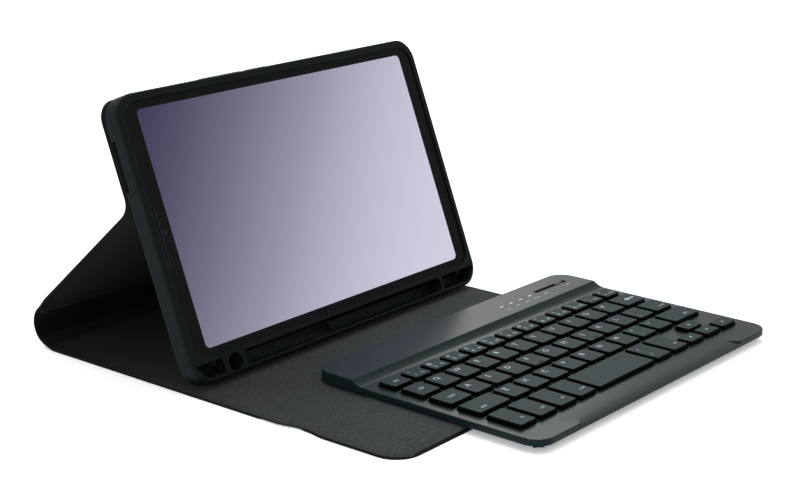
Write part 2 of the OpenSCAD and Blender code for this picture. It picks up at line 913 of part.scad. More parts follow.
module power_switch_knob() {
    knob_low = bar_z - switch_depth + close_gap;
    color("#c2c6c8") at_keyboard() {
        block(knob_x - knob_w / 2, knob_x + knob_w / 2, switch_y - knob_d / 2,
              switch_y + knob_d / 2, knob_low, bar_z + knob_proud);
        block(knob_x - stem_w / 2, knob_x + stem_w / 2, switch_y - stem_d / 2,
              switch_y + stem_d / 2, bar_z - 2 * bar_roof_t, knob_low);
    }
}

// Keycaps: hollow caps that sink into their wells.
module key_outline(key, inset) {
    w = key[1] - key[0] - 2 * inset;
    d = key[3] - 2 * inset;
    translate([(key[0] + key[1]) / 2, key[2]])
        outline(w / 2, -d / 2, d / 2, key_corner_r - inset, key_corner_r - inset);
}

module keys(list) {
    color(key_grey) at_keyboard()
        for (key = list) difference() {
            translate([0, 0, key_skirt_z]) linear_extrude(key_top_z - key_skirt_z)
                key_outline(key, 0);
            translate([0, 0, key_skirt_z - overcut])
                linear_extrude(key_top_z - key_skirt_z - key_wall + overcut)
                    key_outline(key, key_wall);
        }
}

module key_numbers() {
    keys(number_keys);
}

module key_tab() {
    keys(tab_key);
}

module key_top_letters() {
    keys(top_letters);
}

module key_backspace() {
    keys(backspace_key);
}

module key_caps() {
    keys(caps_key);
}

module key_home_letters() {
    keys(home_letters);
    color(key_grey) at_keyboard()
        for (i = homing_keys)
            translate([home_first_x + i * letter_pitch, home_y - letter_d / 3, key_top_z])
                linear_extrude(homing_t) square([homing_w, homing_d], center = true);
}

module key_enter() {
    keys(enter_key);
}

module key_shift_left() {
    keys(shift_left_key);
}

module key_bottom_letters() {
    keys(bottom_letters);
}

module key_shift_right() {
    keys(shift_right_key);
}

module key_modifiers_left() {
    keys(modifiers_left);
}

module key_space() {
    keys(space_key);
}

module key_modifiers_right() {
    keys(modifiers_right);
}

module key_arrow_left() {
    keys(arrow_left_key);
}

module key_arrow_down() {
    keys(arrow_down_key);
}

module key_arrow_up() {
    keys(arrow_up_key);
}

module key_arrow_right() {
    keys(arrow_right_key);
}

front_cover_skin();
front_cover_board();
front_cover_lining();
cover_magnets();
spine_skin();
spine_lining();
lower_panel_skin();
lower_panel_board();
lower_panel_lining();
upper_panel_skin();
upper_panel_board();
flap_strip_skin();
flap_strip_lining();
flap_skin();
flap_board();
flap_lining();
flap_magnets();
tray_shell();
tray_rim();
tray_power_pad();
tray_volume_pad();
tablet_housing();
tablet_glass();
tablet_display();
tablet_front_camera();
tablet_rear_camera();
keyboard_top_shell();
keyboard_bottom_shell();
key_support_plate();
key_membrane();
key_domes();
circuit_board();
battery();
charging_port();
status_lights();
keyboard_feet();
keyboard_screws();
keyboard_magnets();
power_switch_knob();
key_numbers();
key_tab();
key_top_letters();
key_backspace();
key_caps();
key_home_letters();
key_enter();
key_shift_left();
key_bottom_letters();
key_shift_right();
key_modifiers_left();
key_space();
key_modifiers_right();
key_arrow_left();
key_arrow_down();
key_arrow_up();
key_arrow_right();
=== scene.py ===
"""Tablet keyboard case: folio, moulded tray, tablet and slim keyboard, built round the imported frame."""

import math

import bmesh
import bpy
from mathutils import Matrix, Vector


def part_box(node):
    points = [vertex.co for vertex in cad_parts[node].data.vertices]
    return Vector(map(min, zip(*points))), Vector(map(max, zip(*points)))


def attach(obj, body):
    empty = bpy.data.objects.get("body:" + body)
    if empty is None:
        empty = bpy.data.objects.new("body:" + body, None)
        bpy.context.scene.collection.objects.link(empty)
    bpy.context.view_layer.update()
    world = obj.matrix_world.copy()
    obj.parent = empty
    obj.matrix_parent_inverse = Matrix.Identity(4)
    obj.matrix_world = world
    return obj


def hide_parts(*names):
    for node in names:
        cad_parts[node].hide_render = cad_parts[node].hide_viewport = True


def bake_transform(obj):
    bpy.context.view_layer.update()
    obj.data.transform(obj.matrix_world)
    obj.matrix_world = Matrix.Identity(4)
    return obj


bl_info = {
    "name": "Tablet Keyboard Case",
    "version": (1, 0, 0),
    "blender": (4, 5, 0),
    "location": "View3D > Sidebar > Case",
    "description": "Builds the folio, tray, tablet and keyboard of a tablet keyboard case",
    "category": "Object",
}

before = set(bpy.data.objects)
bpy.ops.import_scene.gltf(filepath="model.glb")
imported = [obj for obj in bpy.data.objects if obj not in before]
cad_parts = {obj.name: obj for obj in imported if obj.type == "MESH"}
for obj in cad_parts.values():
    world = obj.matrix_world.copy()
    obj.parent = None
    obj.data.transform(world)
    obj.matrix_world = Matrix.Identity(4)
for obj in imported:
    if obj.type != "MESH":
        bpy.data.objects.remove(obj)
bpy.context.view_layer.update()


# ---------------------------------------------------------------- shader helpers


class Wire:
    """A node socket that takes part in Python expressions; each operator adds one Math node."""

    def __init__(self, finish, socket):
        self.finish = finish
        self.socket = socket

    def maths(self, operation, *terms):
        values = {index: term for index, term in enumerate(terms)}
        return self.finish.node("ShaderNodeMath", {"operation": operation}, values)

    def __add__(self, other):
        return self.maths("ADD", self, other)

    def __radd__(self, other):
        return self.maths("ADD", other, self)

    def __sub__(self, other):
        return self.maths("SUBTRACT", self, other)

    def __rsub__(self, other):
        return self.maths("SUBTRACT", other, self)

    def __mul__(self, other):
        return self.maths("MULTIPLY", self, other)

    def __rmul__(self, other):
        return self.maths("MULTIPLY", other, self)

    def above(self, edge, softness):
        """0 below the edge, 1 above it, with a soft step between."""
        return self.finish.node(
            "ShaderNodeMapRange",
            {"interpolation_type": "SMOOTHSTEP"},
            {"Value": self, "From Min": edge - softness, "From Max": edge + softness},
        )


class Finish:
    """One procedural material with a Principled shader."""

    def __init__(self, name, **constants):
        self.material = bpy.data.materials.new(name)
        self.material.use_nodes = True
        self.tree = self.material.node_tree
        self.tree.nodes.clear()
        self.shader = self.tree.nodes.new("ShaderNodeBsdfPrincipled")
        output = self.tree.nodes.new("ShaderNodeOutputMaterial")
        self.tree.links.new(self.shader.outputs["BSDF"], output.inputs["Surface"])
        for socket, value in constants.items():
            label = socket.replace("_", " ").title().replace("Ior", "IOR")
            self.shader.inputs[label].default_value = value

    def node(self, kind, settings=None, values=None, output=0):
        """Adds a node, sets it, then fills its sockets with values or wires."""
        made = self.tree.nodes.new(kind)
        for key, value in (settings or {}).items():
            if key == "stops":
                for element, (place, colour) in zip(made.color_ramp.elements, value):
                    element.position = place
                    element.color = (*colour, 1.0)
            else:
                setattr(made, key, value)
        for key, value in (values or {}).items():
            if isinstance(value, Wire):
                self.tree.links.new(value.socket, made.inputs[key])
            else:
                made.inputs[key].default_value = value
        return Wire(self, made.outputs[output])

    def place(self):
        """Coordinates in the piece's own frame, in metres."""
        return self.node("ShaderNodeTexCoord", output="Object")

    def axis(self, vector, name):
        return self.node("ShaderNodeSeparateXYZ", None, {0: vector}, name)

    def noise(self, scale, detail=3.0, roughness=0.55, vector=None):
        values = {"Scale": scale, "Detail": detail, "Roughness": roughness}
        values["Vector"] = vector or self.place()
        return self.node("ShaderNodeTexNoise", None, values, "Fac")

    def stretched(self, along, across):
        """The piece's coordinates drawn out along X, for brushed and streaky surfaces."""
        return self.node(
            "ShaderNodeVectorMath",
            {"operation": "MULTIPLY"},
            {0: self.place(), 1: (along, across, across)},
        )

    def mix(self, factor, first, second):
        """Mixes two colours by a factor."""
        made = self.tree.nodes.new("ShaderNodeMix")
        made.data_type = "RGBA"
        for key, value in (("Factor", factor), ("A", first), ("B", second)):
            kind = "VALUE" if key == "Factor" else "RGBA"
            socket = next(s for s in made.inputs if s.name == key and s.type == kind)
            if isinstance(value, Wire):
                self.tree.links.new(value.socket, socket)
            else:
                socket.default_value = value if key == "Factor" else (*value, 1.0)
        return Wire(self, next(s for s in made.outputs if s.type == "RGBA"))

    def bump(self, height, depth, strength=1.0, under=None):
        values = {"Height": height, "Distance": depth, "Strength": strength}
        if under:
            values["Normal"] = under
        return self.node("ShaderNodeBump", None, values, "Normal")

    def feed(self, **links):
        """Links wires to the shader's own sockets."""
        for socket, wire in links.items():
            self.tree.links.new(wire.socket, self.shader.inputs[socket.replace("_", " ").title()])
        return self.material


def shade(colour, factor):
    """The same colour, lighter or darker."""
    return tuple(channel * factor for channel in colour)


# ---------------------------------------------------------------- finishes


def leather_finish(colour):
    finish = Finish("folio_leather", specular_ior_level=0.08)
    grain = finish.node(
        "ShaderNodeTexVoronoi",
        {"feature": "SMOOTH_F1"},
        {"Vector": finish.place(), "Scale": 900.0, "Smoothness": 0.6},
        "Distance",
    )
    pores = finish.noise(2600.0, 2.0)
    clouds = finish.noise(34.0, 4.0)
    crumple = finish.noise(120.0, 3.0)
    height = grain * 0.7 + pores * 0.3
    normal = finish.bump(height, 0.00012, 0.55, finish.bump(crumple, 0.0005, 0.25))
    return finish.feed(
        base_color=finish.mix(clouds.above(0.5, 0.3), shade(colour, 0.8), shade(colour, 1.5)),
        roughness=0.5 + clouds * 0.14 - height * 0.08,
        normal=normal,
    )


def lining_finish(colour, dark):
    """Brushed fabric with painted shade: pale at the front right and darker towards the spine."""
    finish = Finish("folio_lining", roughness=0.95, specular_ior_level=0.0)
    finish.shader.inputs["Sheen Weight"].default_value = 0.03
    finish.shader.inputs["Sheen Roughness"].default_value = 0.6
    place = finish.place()
    nap = finish.noise(2400.0, 3.0, 0.7)
    mottle = finish.noise(1000.0, 3.0, 0.7)
    strokes = finish.noise(18.0, 3.0)
    speckle = nap * 0.5 + mottle * 0.4 + strokes * 0.1
    # Painted shade: towards the back and the left, the lining's colour fades to the darker back colour.
    to_back = finish.axis(place, "Y") - finish.axis(place, "X") * 0.45
    painted_shade = (to_back * 4.2 + 0.36).above(0.5, 0.5)
    front = finish.mix(speckle.above(0.5, 0.12), shade(colour, 0.62), shade(colour, 1.45))
    back = finish.mix(speckle.above(0.5, 0.12), shade(dark, 0.62), shade(dark, 1.45))
    return finish.feed(
        base_color=finish.mix(painted_shade, front, back),
        normal=finish.bump(nap * 0.7 + mottle * 0.3, 0.0003, 0.6),
    )


def moulded_finish(name, colour, roughness, grain=2200.0, depth=0.00005):
    finish = Finish(name, specular_ior_level=0.05)
    spark = finish.noise(grain, 2.0)
    flow = finish.noise(28.0, 3.0)
    return finish.feed(
        base_color=finish.mix(flow.above(0.5, 0.3), shade(colour, 0.88), shade(colour, 1.14)),
        roughness=roughness - 0.05 + flow * 0.1,
        normal=finish.bump(spark, depth, 0.5),
    )


def deck_finish(colour):
    """Matt lacquer with fine streaks along the keyboard."""
    finish = Finish("keyboard_shell", specular_ior_level=0.06)
    streaks = finish.noise(1.0, 3.0, 0.6, finish.stretched(60.0, 1700.0))
    haze = finish.noise(22.0, 3.0)
    return finish.feed(
        base_color=finish.mix(streaks.above(0.5, 0.25), shade(colour, 0.9), shade(colour, 1.12)),
        roughness=0.22 + streaks * 0.1 + haze * 0.06,
        normal=finish.bump(streaks, 0.00004, 0.35),
    )


def keycap_finish(name, colour):
    """Lacquered cap, with a little polish from fingers."""
    finish = Finish(name, specular_ior_level=0.02)
    spark = finish.noise(3000.0, 2.0)
    wear = finish.noise(90.0, 3.0)
    return finish.feed(
        base_color=finish.mix(wear.above(0.5, 0.3), shade(colour, 0.93), shade(colour, 1.07)),
        roughness=0.4 + wear * 0.12,
        normal=finish.bump(spark, 0.00003, 0.4),
    )


def glass_finish(colour):
    finish = Finish("front_glass", specular_ior_level=0.03)
    smears = finish.noise(40.0, 3.0)
    return finish.feed(
        base_color=finish.mix(smears.above(0.5, 0.3), shade(colour, 0.95), shade(colour, 1.05)),
        roughness=0.16 + smears.above(0.62, 0.1) * 0.08,
    )


def screen_finish(deep, pale, white):
    """Lit screen: one plain, soft blend of light from the upper left to the lower right."""
    finish = Finish("lit_screen", roughness=0.12, specular_ior_level=0.03)
    place = finish.place()
    swell = finish.noise(5.0, 1.0)
    blend = finish.axis(place, "X") * 4.0 - finish.axis(place, "Z") * 3.2 + swell * 0.12 + 0.72
    dusk = finish.mix(blend.above(0.5, 0.6), deep, pale)
    finish.shader.inputs["Emission Strength"].default_value = 1.0
    finish.shader.inputs["Base Color"].default_value = (0.004, 0.004, 0.006, 1.0)
    return finish.feed(emission_color=finish.mix(blend.above(0.95, 0.5), dusk, white))


def metal_finish(name, colour, roughness):
    finish = Finish(name, metallic=1.0)
    brush = finish.noise(1.0, 3.0, 0.6, finish.stretched(150.0, 4200.0))
    return finish.feed(
        base_color=finish.mix(brush.above(0.5, 0.3), shade(colour, 0.85), colour),
        roughness=roughness + brush * 0.12,
        normal=finish.bump(brush, 0.00003, 0.3),
    )


def ink_finish(colour):
    finish = Finish("legend_ink", roughness=0.5)
    thin = finish.noise(1400.0, 2.0)
    return finish.feed(base_color=finish.mix(thin.above(0.5, 0.3), shade(colour, 0.85), colour))


def lens_finish():
    finish = Finish("camera_lens", roughness=0.08, specular_ior_level=0.05)
    ripple = finish.noise(900.0, 1.0)
    return finish.feed(
        base_color=finish.mix(ripple, (0.004, 0.005, 0.012), (0.012, 0.012, 0.028))
    )


FINISHES = {}


def use_finish(name, make, *facts):
    """Makes each finish once."""
    if name not in FINISHES:
        FINISHES[name] = make(*facts)
    return FINISHES[name]


# ---------------------------------------------------------------- properties


def size_property(name, description, default, soft_max=0.3):
    return bpy.props.FloatProperty(
        name=name, description=description, default=default, min=0.0, soft_max=soft_max,
        unit="LENGTH", precision=5,
    )


def angle_property(name, description, degrees):
    return bpy.props.FloatProperty(
        name=name, description=description, default=math.radians(degrees), unit="ROTATION"
    )


def colour_property(name, description, default):
    return bpy.props.FloatVectorProperty(
        name=name, description=description, default=default, size=3, min=0.0, max=1.0,
        subtype="COLOR",
    )


class FolioSettings(bpy.types.PropertyGroup):
    panel_half_width: size_property("Panel half width", "Half of a panel's width", 0.1062)
    flap_half_width: size_property("Flap half width", "Half of the closing flap's width", 0.1056)
    flap_radius: size_property("Flap radius", "Front corners of the flap", 0.0125)
    upper_radius: size_property("Upper radius", "Top corners of the upper panel", 0.010)
    upper_half_width: size_property("Upper half width", "Half of the upper panel's width", 0.1065)
    panel_thickness: size_property("Panel thickness", "Skin, board and lining together", 0.0026)
    soft_thickness: size_property("Soft thickness", "Skin and lining with no board", 0.0016)
    rim: size_property("Rim", "Width of the leather edge round the lining", 0.0006)
    waist_half_width: size_property("Waist half width", "Half of the width at the flap's fold", 0.104)
    waist_run: size_property("Waist run", "Length over which the folio narrows", 0.012)
    crease_soft: size_property("Crease soft", "Soft leather on each side of the crease", 0.0048)
    fold_gap: size_property("Fold gap", "From a fold line to the panel beside it", 0.0017)
    crease_gap: size_property("Crease gap", "From the crease to the lower panel", 0.003)
    spine_fold: size_property("Spine fold", "Back fold of the front panel", 0.098)
    strip_fold: size_property("Strip fold", "Front fold, ahead of the origin", 0.0435)
    flap_fold: size_property("Flap fold", "Fold of the closing flap, ahead of the origin", 0.066)
    flap_front: size_property("Flap front", "Front edge of the flap, ahead of the origin", 0.1218)
    spine_top_y: size_property("Spine top Y", "Back of the spine's top fold", 0.1014)
    spine_top_z: size_property("Spine top Z", "Height of the spine's top fold", 0.0221)
    spine_bulge: size_property("Spine bulge", "How far the spine stands out", 0.0081)
    window_radius: size_property("Window radius", "Camera window in the upper panel", 0.0075)
    spine_run: size_property("Spine run", "Soft leather beyond each fold of the spine", 0.0030)
    spine_soft: angle_property("Spine soft", "Part of the spine's arc given to each fold", 17.0)
    crease_height: size_property("Crease height", "Height of the crease along the tray", 0.0852)
    leather: colour_property("Leather", "Outer leather", (0.0016, 0.0018, 0.0019))
    lining: colour_property("Lining", "Fabric lining", (0.032, 0.0375, 0.0360))
    # Painted shade: the dark colour that the lining fades to towards the spine and the lower panel.
    back_lining_shade: colour_property(
        "Back lining", "Lining towards the spine", (0.0022, 0.0024, 0.0024)
    )


class TraySettings(bpy.types.PropertyGroup):
    lean: angle_property("Lean", "Angle the tray leans back from upright", 21.6)
    foot_y: size_property("Foot Y", "Tray's lower front edge, ahead of the origin", 0.00655)
    foot_radius: size_property("Foot radius", "Radius of the edge the tray stands on", 0.003)
    foot_gap: size_property("Foot gap", "Gap under the tray's foot", 0.0003)
    half_width: size_property("Half width", "Half of the tray's width", 0.1068)
    height: size_property("Height", "Height of the tray", 0.1368)
    depth: size_property("Depth", "Front to back of the tray", 0.0102)
    corner_radius: size_property("Corner radius", "Outer corner of the tray", 0.0115)
    edge_round: size_property("Edge round", "Rounding of the tray's outer edges", 0.0011)
    plastic: colour_property("Plastic", "Moulded plastic of the tray", (0.0040, 0.0074, 0.0084))
    frame_shade: bpy.props.FloatProperty(
        name="Frame shade", description="Front frame's tone beside the shell's", default=0.62,
        min=0.1, max=2.0,
    )


class TabletSettings(bpy.types.PropertyGroup):
    screen_half_width: size_property("Screen half width", "Half of the lit screen's width", 0.09485)
    screen_height: size_property("Screen height", "Height of the lit screen", 0.1133)
    screen_low: size_property("Screen low", "Lower edge of the screen along the tray", 0.0155)
    screen_corner: size_property("Screen corner", "Corner radius of the lit screen", 0.0026)
    glass_front: size_property("Glass front", "Depth of the glass behind the tray's lip", 0.0009)
    earpiece_x: size_property("Earpiece X", "Earpiece slit, left of the middle", 0.1012)
    earpiece_z: size_property("Earpiece Z", "Middle of the slit along the tray", 0.0695)
    earpiece_half: size_property("Earpiece half", "Half of the slit's length", 0.0147)
    camera_x: size_property("Camera X", "Front camera, left of the middle", 0.099)
    camera_z: size_property("Camera Z", "Front camera along the tray", 0.0717)
    camera_radius: size_property("Camera radius", "Radius of the front camera", 0.0013)
    bezel: colour_property("Bezel", "Black glass round the screen", (0.0045, 0.0045, 0.0046))
    body: colour_property("Body", "Metal of the tablet's back", (0.09, 0.10, 0.11))
    deep: colour_property("Deep shade", "Dark end of the screen's blend", (0.036, 0.033, 0.082))
    pale: colour_property("Pale shade", "Middle of the screen's blend", (0.58, 0.55, 0.70))
    white: colour_property("White shade", "Light end of the screen's blend", (0.66, 0.63, 0.74))


class KeyboardSettings(bpy.types.PropertyGroup):
    middle: bpy.props.FloatVectorProperty(
        name="Middle", description="Middle of the keyboard on the table",
        default=(0.0386, -0.0994, 0.0), size=3, subtype="TRANSLATION", unit="LENGTH",
    )
    turn: angle_property("Turn", "Turn of the keyboard on the table", -0.88)
    half_width: size_property("Half width", "Half of the keyboard's width", 0.09955)
    half_depth: size_property("Half depth", "Half of the keyboard's depth", 0.06425)
    edge_round: size_property("Edge round", "Rounding of the base's lower edge", 0.0009)
    deck_round: size_property("Deck round", "Rounding of the deck's outer edge", 0.0004)
    corner_radius: size_property("Corner radius", "Corners of the keyboard", 0.0085)
    key_round: size_property("Key round", "Rounding of a keycap's top edge", 0.0003)
    key_taper: size_property("Key taper", "How far a keycap's flank leans in", 0.0004)
    key_radius: size_property("Key radius", "Corner radius of a keycap", 0.0011)
    legend_size: size_property("Legend size", "Size of a letter key's lettering", 0.0043)
    shell: colour_property("Shell", "Keyboard shell", (0.0060, 0.0120, 0.0135))
    keycap: colour_property("Keycap", "Top of the keycaps", (0.0190, 0.0290, 0.0310))
    # Painted shade: the keycaps' flanks take this near-black copy of the cap colour.
    key_flank_shade: colour_property("Key side", "Flanks of the keycaps", (0.0006, 0.0009, 0.0010))
    legend: colour_property("Legend", "Printed letters", (0.27, 0.34, 0.37))


class StageSettings(bpy.types.PropertyGroup):
    floor: colour_property("Floor", "Floor and backdrop", (0.86, 0.86, 0.86))
    lens: bpy.props.FloatProperty(
        name="Lens", description="Focal length in millimetres", default=78.08, min=20.0, max=200.0
    )
    azimuth: angle_property("Azimuth", "Direction the camera looks from", -51.62)
    elevation: angle_property("Elevation", "Height the camera looks from", 16.61)
    roll: angle_property("Roll", "Turn of the camera about its own axis", 0.575)
    eye: bpy.props.FloatVectorProperty(
        name="Eye", description="Place of the camera", default=(-0.6241, -0.5333, 0.2876),
        size=3, subtype="TRANSLATION", unit="LENGTH",
    )


# ---------------------------------------------------------------- mesh helpers


def new_piece(name, bm, place, materials, smooth_angle=38.0):
    """Links a finished mesh as one piece standing in its own frame."""
    bmesh.ops.recalc_face_normals(bm, faces=bm.faces)
    mesh = bpy.data.meshes.new(name)
    bm.to_mesh(mesh)
    bm.free()
    for material in materials:
        mesh.materials.append(material)
    mesh.polygons.foreach_set("use_smooth", [True] * len(mesh.polygons))
    mesh.set_sharp_from_angle(angle=math.radians(smooth_angle))
    piece = bpy.data.objects.new(name, mesh)
    piece.matrix_world = place
    bpy.context.scene.collection.objects.link(piece)
    return piece


def weigh_normals(piece):
    """Keeps large flat faces flat where they meet a small rounding."""
    weighted = piece.modifiers.new("weighted", "WEIGHTED_NORMAL")
    weighted.keep_sharp = True
    weighted.weight = 100


def apply_modifiers(piece):
    graph = bpy.context.evaluated_depsgraph_get()
    mesh = bpy.data.meshes.new_from_object(piece.evaluated_get(graph), depsgraph=graph)
    piece.modifiers.clear()
    old = piece.data
    piece.data = mesh
    bpy.data.meshes.remove(old)
    return piece


def keep_inside(piece, nodes):
    """Holds a rounded piece within the box of the nodes that it stands for."""
    corners = [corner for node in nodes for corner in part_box(node)]
    low = [min(corner[axis] for corner in corners) for axis in range(3)]
    high = [max(corner[axis] for corner in corners) for axis in range(3)]
    there = piece.matrix_world.copy()
    back = there.inverted()
    for vert in piece.data.vertices:
        spot = there @ vert.co
        vert.co = back @ Vector([min(max(spot[axis], low[axis]), high[axis]) for axis in range(3)])


def softened(name, nodes, place, round_of, largest, material, segments=3, merge=True):
    """A CAD node's shape with its edges rounded: round_of gives each sharp edge's own radius."""
    bm = bmesh.new()
    for node in nodes:
        bm.from_mesh(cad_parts[node].data)
    bmesh.ops.remove_doubles(bm, verts=bm.verts, dist=2e-6)
    bm.transform(place.inverted())
    if merge:
        bmesh.ops.dissolve_limit(
            bm, angle_limit=math.radians(0.6), verts=bm.verts, edges=bm.edges,
            use_dissolve_boundaries=False,
        )
    layer = bm.edges.layers.float.new("bevel_weight_edge")
    for edge in bm.edges:
        if len(edge.link_faces) == 2 and edge.calc_face_angle() > math.radians(30.0):
            middle = (edge.verts[0].co + edge.verts[1].co) / 2
            edge[layer] = min(1.0, round_of(middle) / largest)
    piece = new_piece(name, bm, place, [material], 34.0)
    bevel = piece.modifiers.new("rounding", "BEVEL")
    bevel.limit_method = "WEIGHT"
    bevel.width = largest
    bevel.segments = segments
    bevel.use_clamp_overlap = False
    weigh_normals(piece)
    apply_modifiers(piece)
    keep_inside(piece, nodes)
    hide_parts(*nodes)
    return piece


def outside_round(point, half_width, low, high, radius):
    """Signed distance of a flat point from a rounded rectangle's edge, below 0 inside."""
    middle = (low + high) / 2
    reach_x = abs(point[0]) - (half_width - radius)
    reach_y = abs(point[1] - middle) - ((high - low) / 2 - radius)
    outer = math.hypot(max(reach_x, 0.0), max(reach_y, 0.0))
    return outer + min(max(reach_x, reach_y), 0.0) - radius


def cut(piece, cutters):
    """Cuts the pieces in cutters out of a piece, and removes them."""
    for cutter in cutters:
        modifier = piece.modifiers.new("cut", "BOOLEAN")
        modifier.object = cutter
        modifier.solver = "EXACT"
    apply_modifiers(piece)
    for cutter in cutters:
        bpy.data.objects.remove(cutter)


def tube_between(name, start, end, radius, place, sides=48):
    """A plain round cutter between two points."""
    bm = bmesh.new()
    axis = (end - start).normalized()
    turn = axis.to_track_quat("Z", "Y").to_matrix().to_4x4()
    bmesh.ops.create_cone(
        bm, cap_ends=True, segments=sides, radius1=radius, radius2=radius,
        depth=(end - start).length, matrix=Matrix.Translation((start + end) / 2) @ turn,
    )
    return new_piece(name, bm, place, [])


# ---------------------------------------------------------------- the folio's path


class Row:
    """One cross-section of the folio: where it is in Y and Z, which way it runs, and its size."""

    def __init__(self, y, z, heading, thickness, half_width, lined=True):
        self.y = y
        self.z = z
        self.heading = heading
        self.thickness = thickness
        self.half_width = half_width
        self.lined = lined

    def point(self, x, share):
        reach = share * self.thickness / 2
        y = self.y - math.sin(self.heading) * reach
        return Vector((x, y, self.z + math.cos(self.heading) * reach))


def edge_profile(rim):
    """From the lining over the turned edge to the underside: distance from the edge, and height."""
    return [
        (0.0058, 1.0), (0.0040, 0.95), (0.0025, 0.76), (0.0014, 0.42), (rim, -0.1), (0.00022, -0.42),
        (0.0, -0.62), (0.0, -0.78), (0.00016, -0.92), (0.00055, -1.0),
    ]


LINED_EDGES = 4


def ribbon(name, rows, rim, materials):
    """Closed strip through the rows: lining on its inner side, leather round the edge and outside."""
    bm = bmesh.new()
    profile = edge_profile(rim)
    rings = []
    for row in rows:
        ring = [bm.verts.new(row.point(row.half_width - d, share)) for d, share in profile]
        ring += [bm.verts.new(row.point(d - row.half_width, share)) for d, share in reversed(profile)]
        rings.append(ring)
    count = len(rings[0])
    for index in range(len(rings) - 1):
        for spot in range(count):
            after = (spot + 1) % count
            face = bm.faces.new((
                rings[index][spot], rings[index][after], rings[index + 1][after], rings[index + 1][spot]
            ))
            lined = rows[index].lined and rows[index + 1].lined
            on_lining = spot < LINED_EDGES or spot >= count - 1 - LINED_EDGES
            face.material_index = 1 if on_lining and lined else 0
    bm.faces.new(rings[0])
    bm.faces.new(reversed(rings[-1]))
    return new_piece(name, bm, Matrix.Identity(4), materials, 50.0)


def panel_steps(length, far_radius, waist):
    """Distances along a panel from its fold, close together where its free end and corners turn."""
    steps = {0.0, length / 2, length}
    if waist:
        steps.update(waist * turn / 8 for turn in range(1, 9))
    if far_radius:
        steps.update(length - inset for inset, _ in FREE_END)
        for turn in range(1, 13):
            steps.add(length - far_radius * (1 - math.cos(math.pi / 2 * turn / 12)))
    return sorted(steps)


# How thick a free end is, as a share, at each distance from its edge.
FREE_END = ((0.0, 0.3), (0.0002, 0.46), (0.0006, 0.62), (0.0014, 0.79), (0.0025, 0.91), (0.0040, 0.98))


def end_thickness(from_end):
    for (near, low), (far, high) in zip(FREE_END, FREE_END[1:]):
        if from_end <= far:
            return low + (high - low) * (from_end - near) / (far - near)
    return 1.0


def ease(share):
    """0 to 1 with level ends."""
    share = min(max(share, 0.0), 1.0)
    return share * share * (3 - 2 * share)


def corner_width(half_width, distance, radius):
    if distance >= radius:
        return half_width
    return half_width - radius + math.sqrt(max(radius ** 2 - (radius - distance) ** 2, 0.0))


def panel_rows(start, heading, length, thickness, widths, far_radius=0.0, waist=0.0):
    """Rows of one stiff panel from its fold. A far radius makes that end free: rounded and thinned."""
    rows = []
    for step in panel_steps(length, far_radius, waist):
        from_end = length - step if far_radius else length
        thin = end_thickness(from_end)
        width = widths[1]
        if waist:
            width = widths[0] + (widths[1] - widths[0]) * ease(step / waist)
        if far_radius:
            width = corner_width(width, length - step, far_radius)
        drop = thickness * (1 - thin) / 2
        y = start[0] + math.cos(heading) * step + math.sin(heading) * drop
        z = start[1] + math.sin(heading) * step - math.cos(heading) * drop
        rows.append(Row(y, z, heading, thickness * thin, width, from_end >= 0.0006))
    return rows


def fold_rows(first, last, pull, count=12):
    """Rows of a soft fold that leaves one row and meets another, bowing with the pull."""
    rows = []
    chord = math.hypot(last.y - first.y, last.z - first.z)
    reach = chord * pull
    for index in range(count + 1):
        t = index / count
        a = 2 * t ** 3 - 3 * t ** 2 + 1
        b = t ** 3 - 2 * t ** 2 + t
        c = 3 * t ** 2 - 2 * t ** 3
        d = t ** 3 - t ** 2
        leave, meet = b * reach, d * reach
        y = a * first.y + leave * math.cos(first.heading) + c * last.y + meet * math.cos(last.heading)
        z = a * first.z + leave * math.sin(first.heading) + c * last.z + meet * math.sin(last.heading)
        heading = first.heading + (last.heading - first.heading) * c
        dip = 1.0 - 0.06 * math.sin(math.pi * t) ** 2
        thickness = (first.thickness * (1 - c) + last.thickness * c) * dip
        width = first.half_width * (1 - c) + last.half_width * c
        rows.append(Row(y, z, heading, thickness, width))
    return rows


def settings():
    return bpy.context.scene.case_settings


def tray_place():
    """The tray's own frame: X across, Y from the lip to the back, Z up the tray."""
    tray = settings().tray
    folio = settings().folio
    cos, sin = math.cos(tray.lean), math.sin(tray.lean)
    foot_z = (
        folio.panel_thickness + tray.foot_gap + tray.foot_radius * (1 - cos)
        + (tray.depth - tray.foot_radius) * sin
    )
    return Matrix.Translation((0, -tray.foot_y, foot_z)) @ Matrix.Rotation(-tray.lean, 4, "X")


def keyboard_place():
    keyboard = settings().keyboard
    return Matrix.Translation(keyboard.middle) @ Matrix.Rotation(keyboard.turn, 4, "Z")


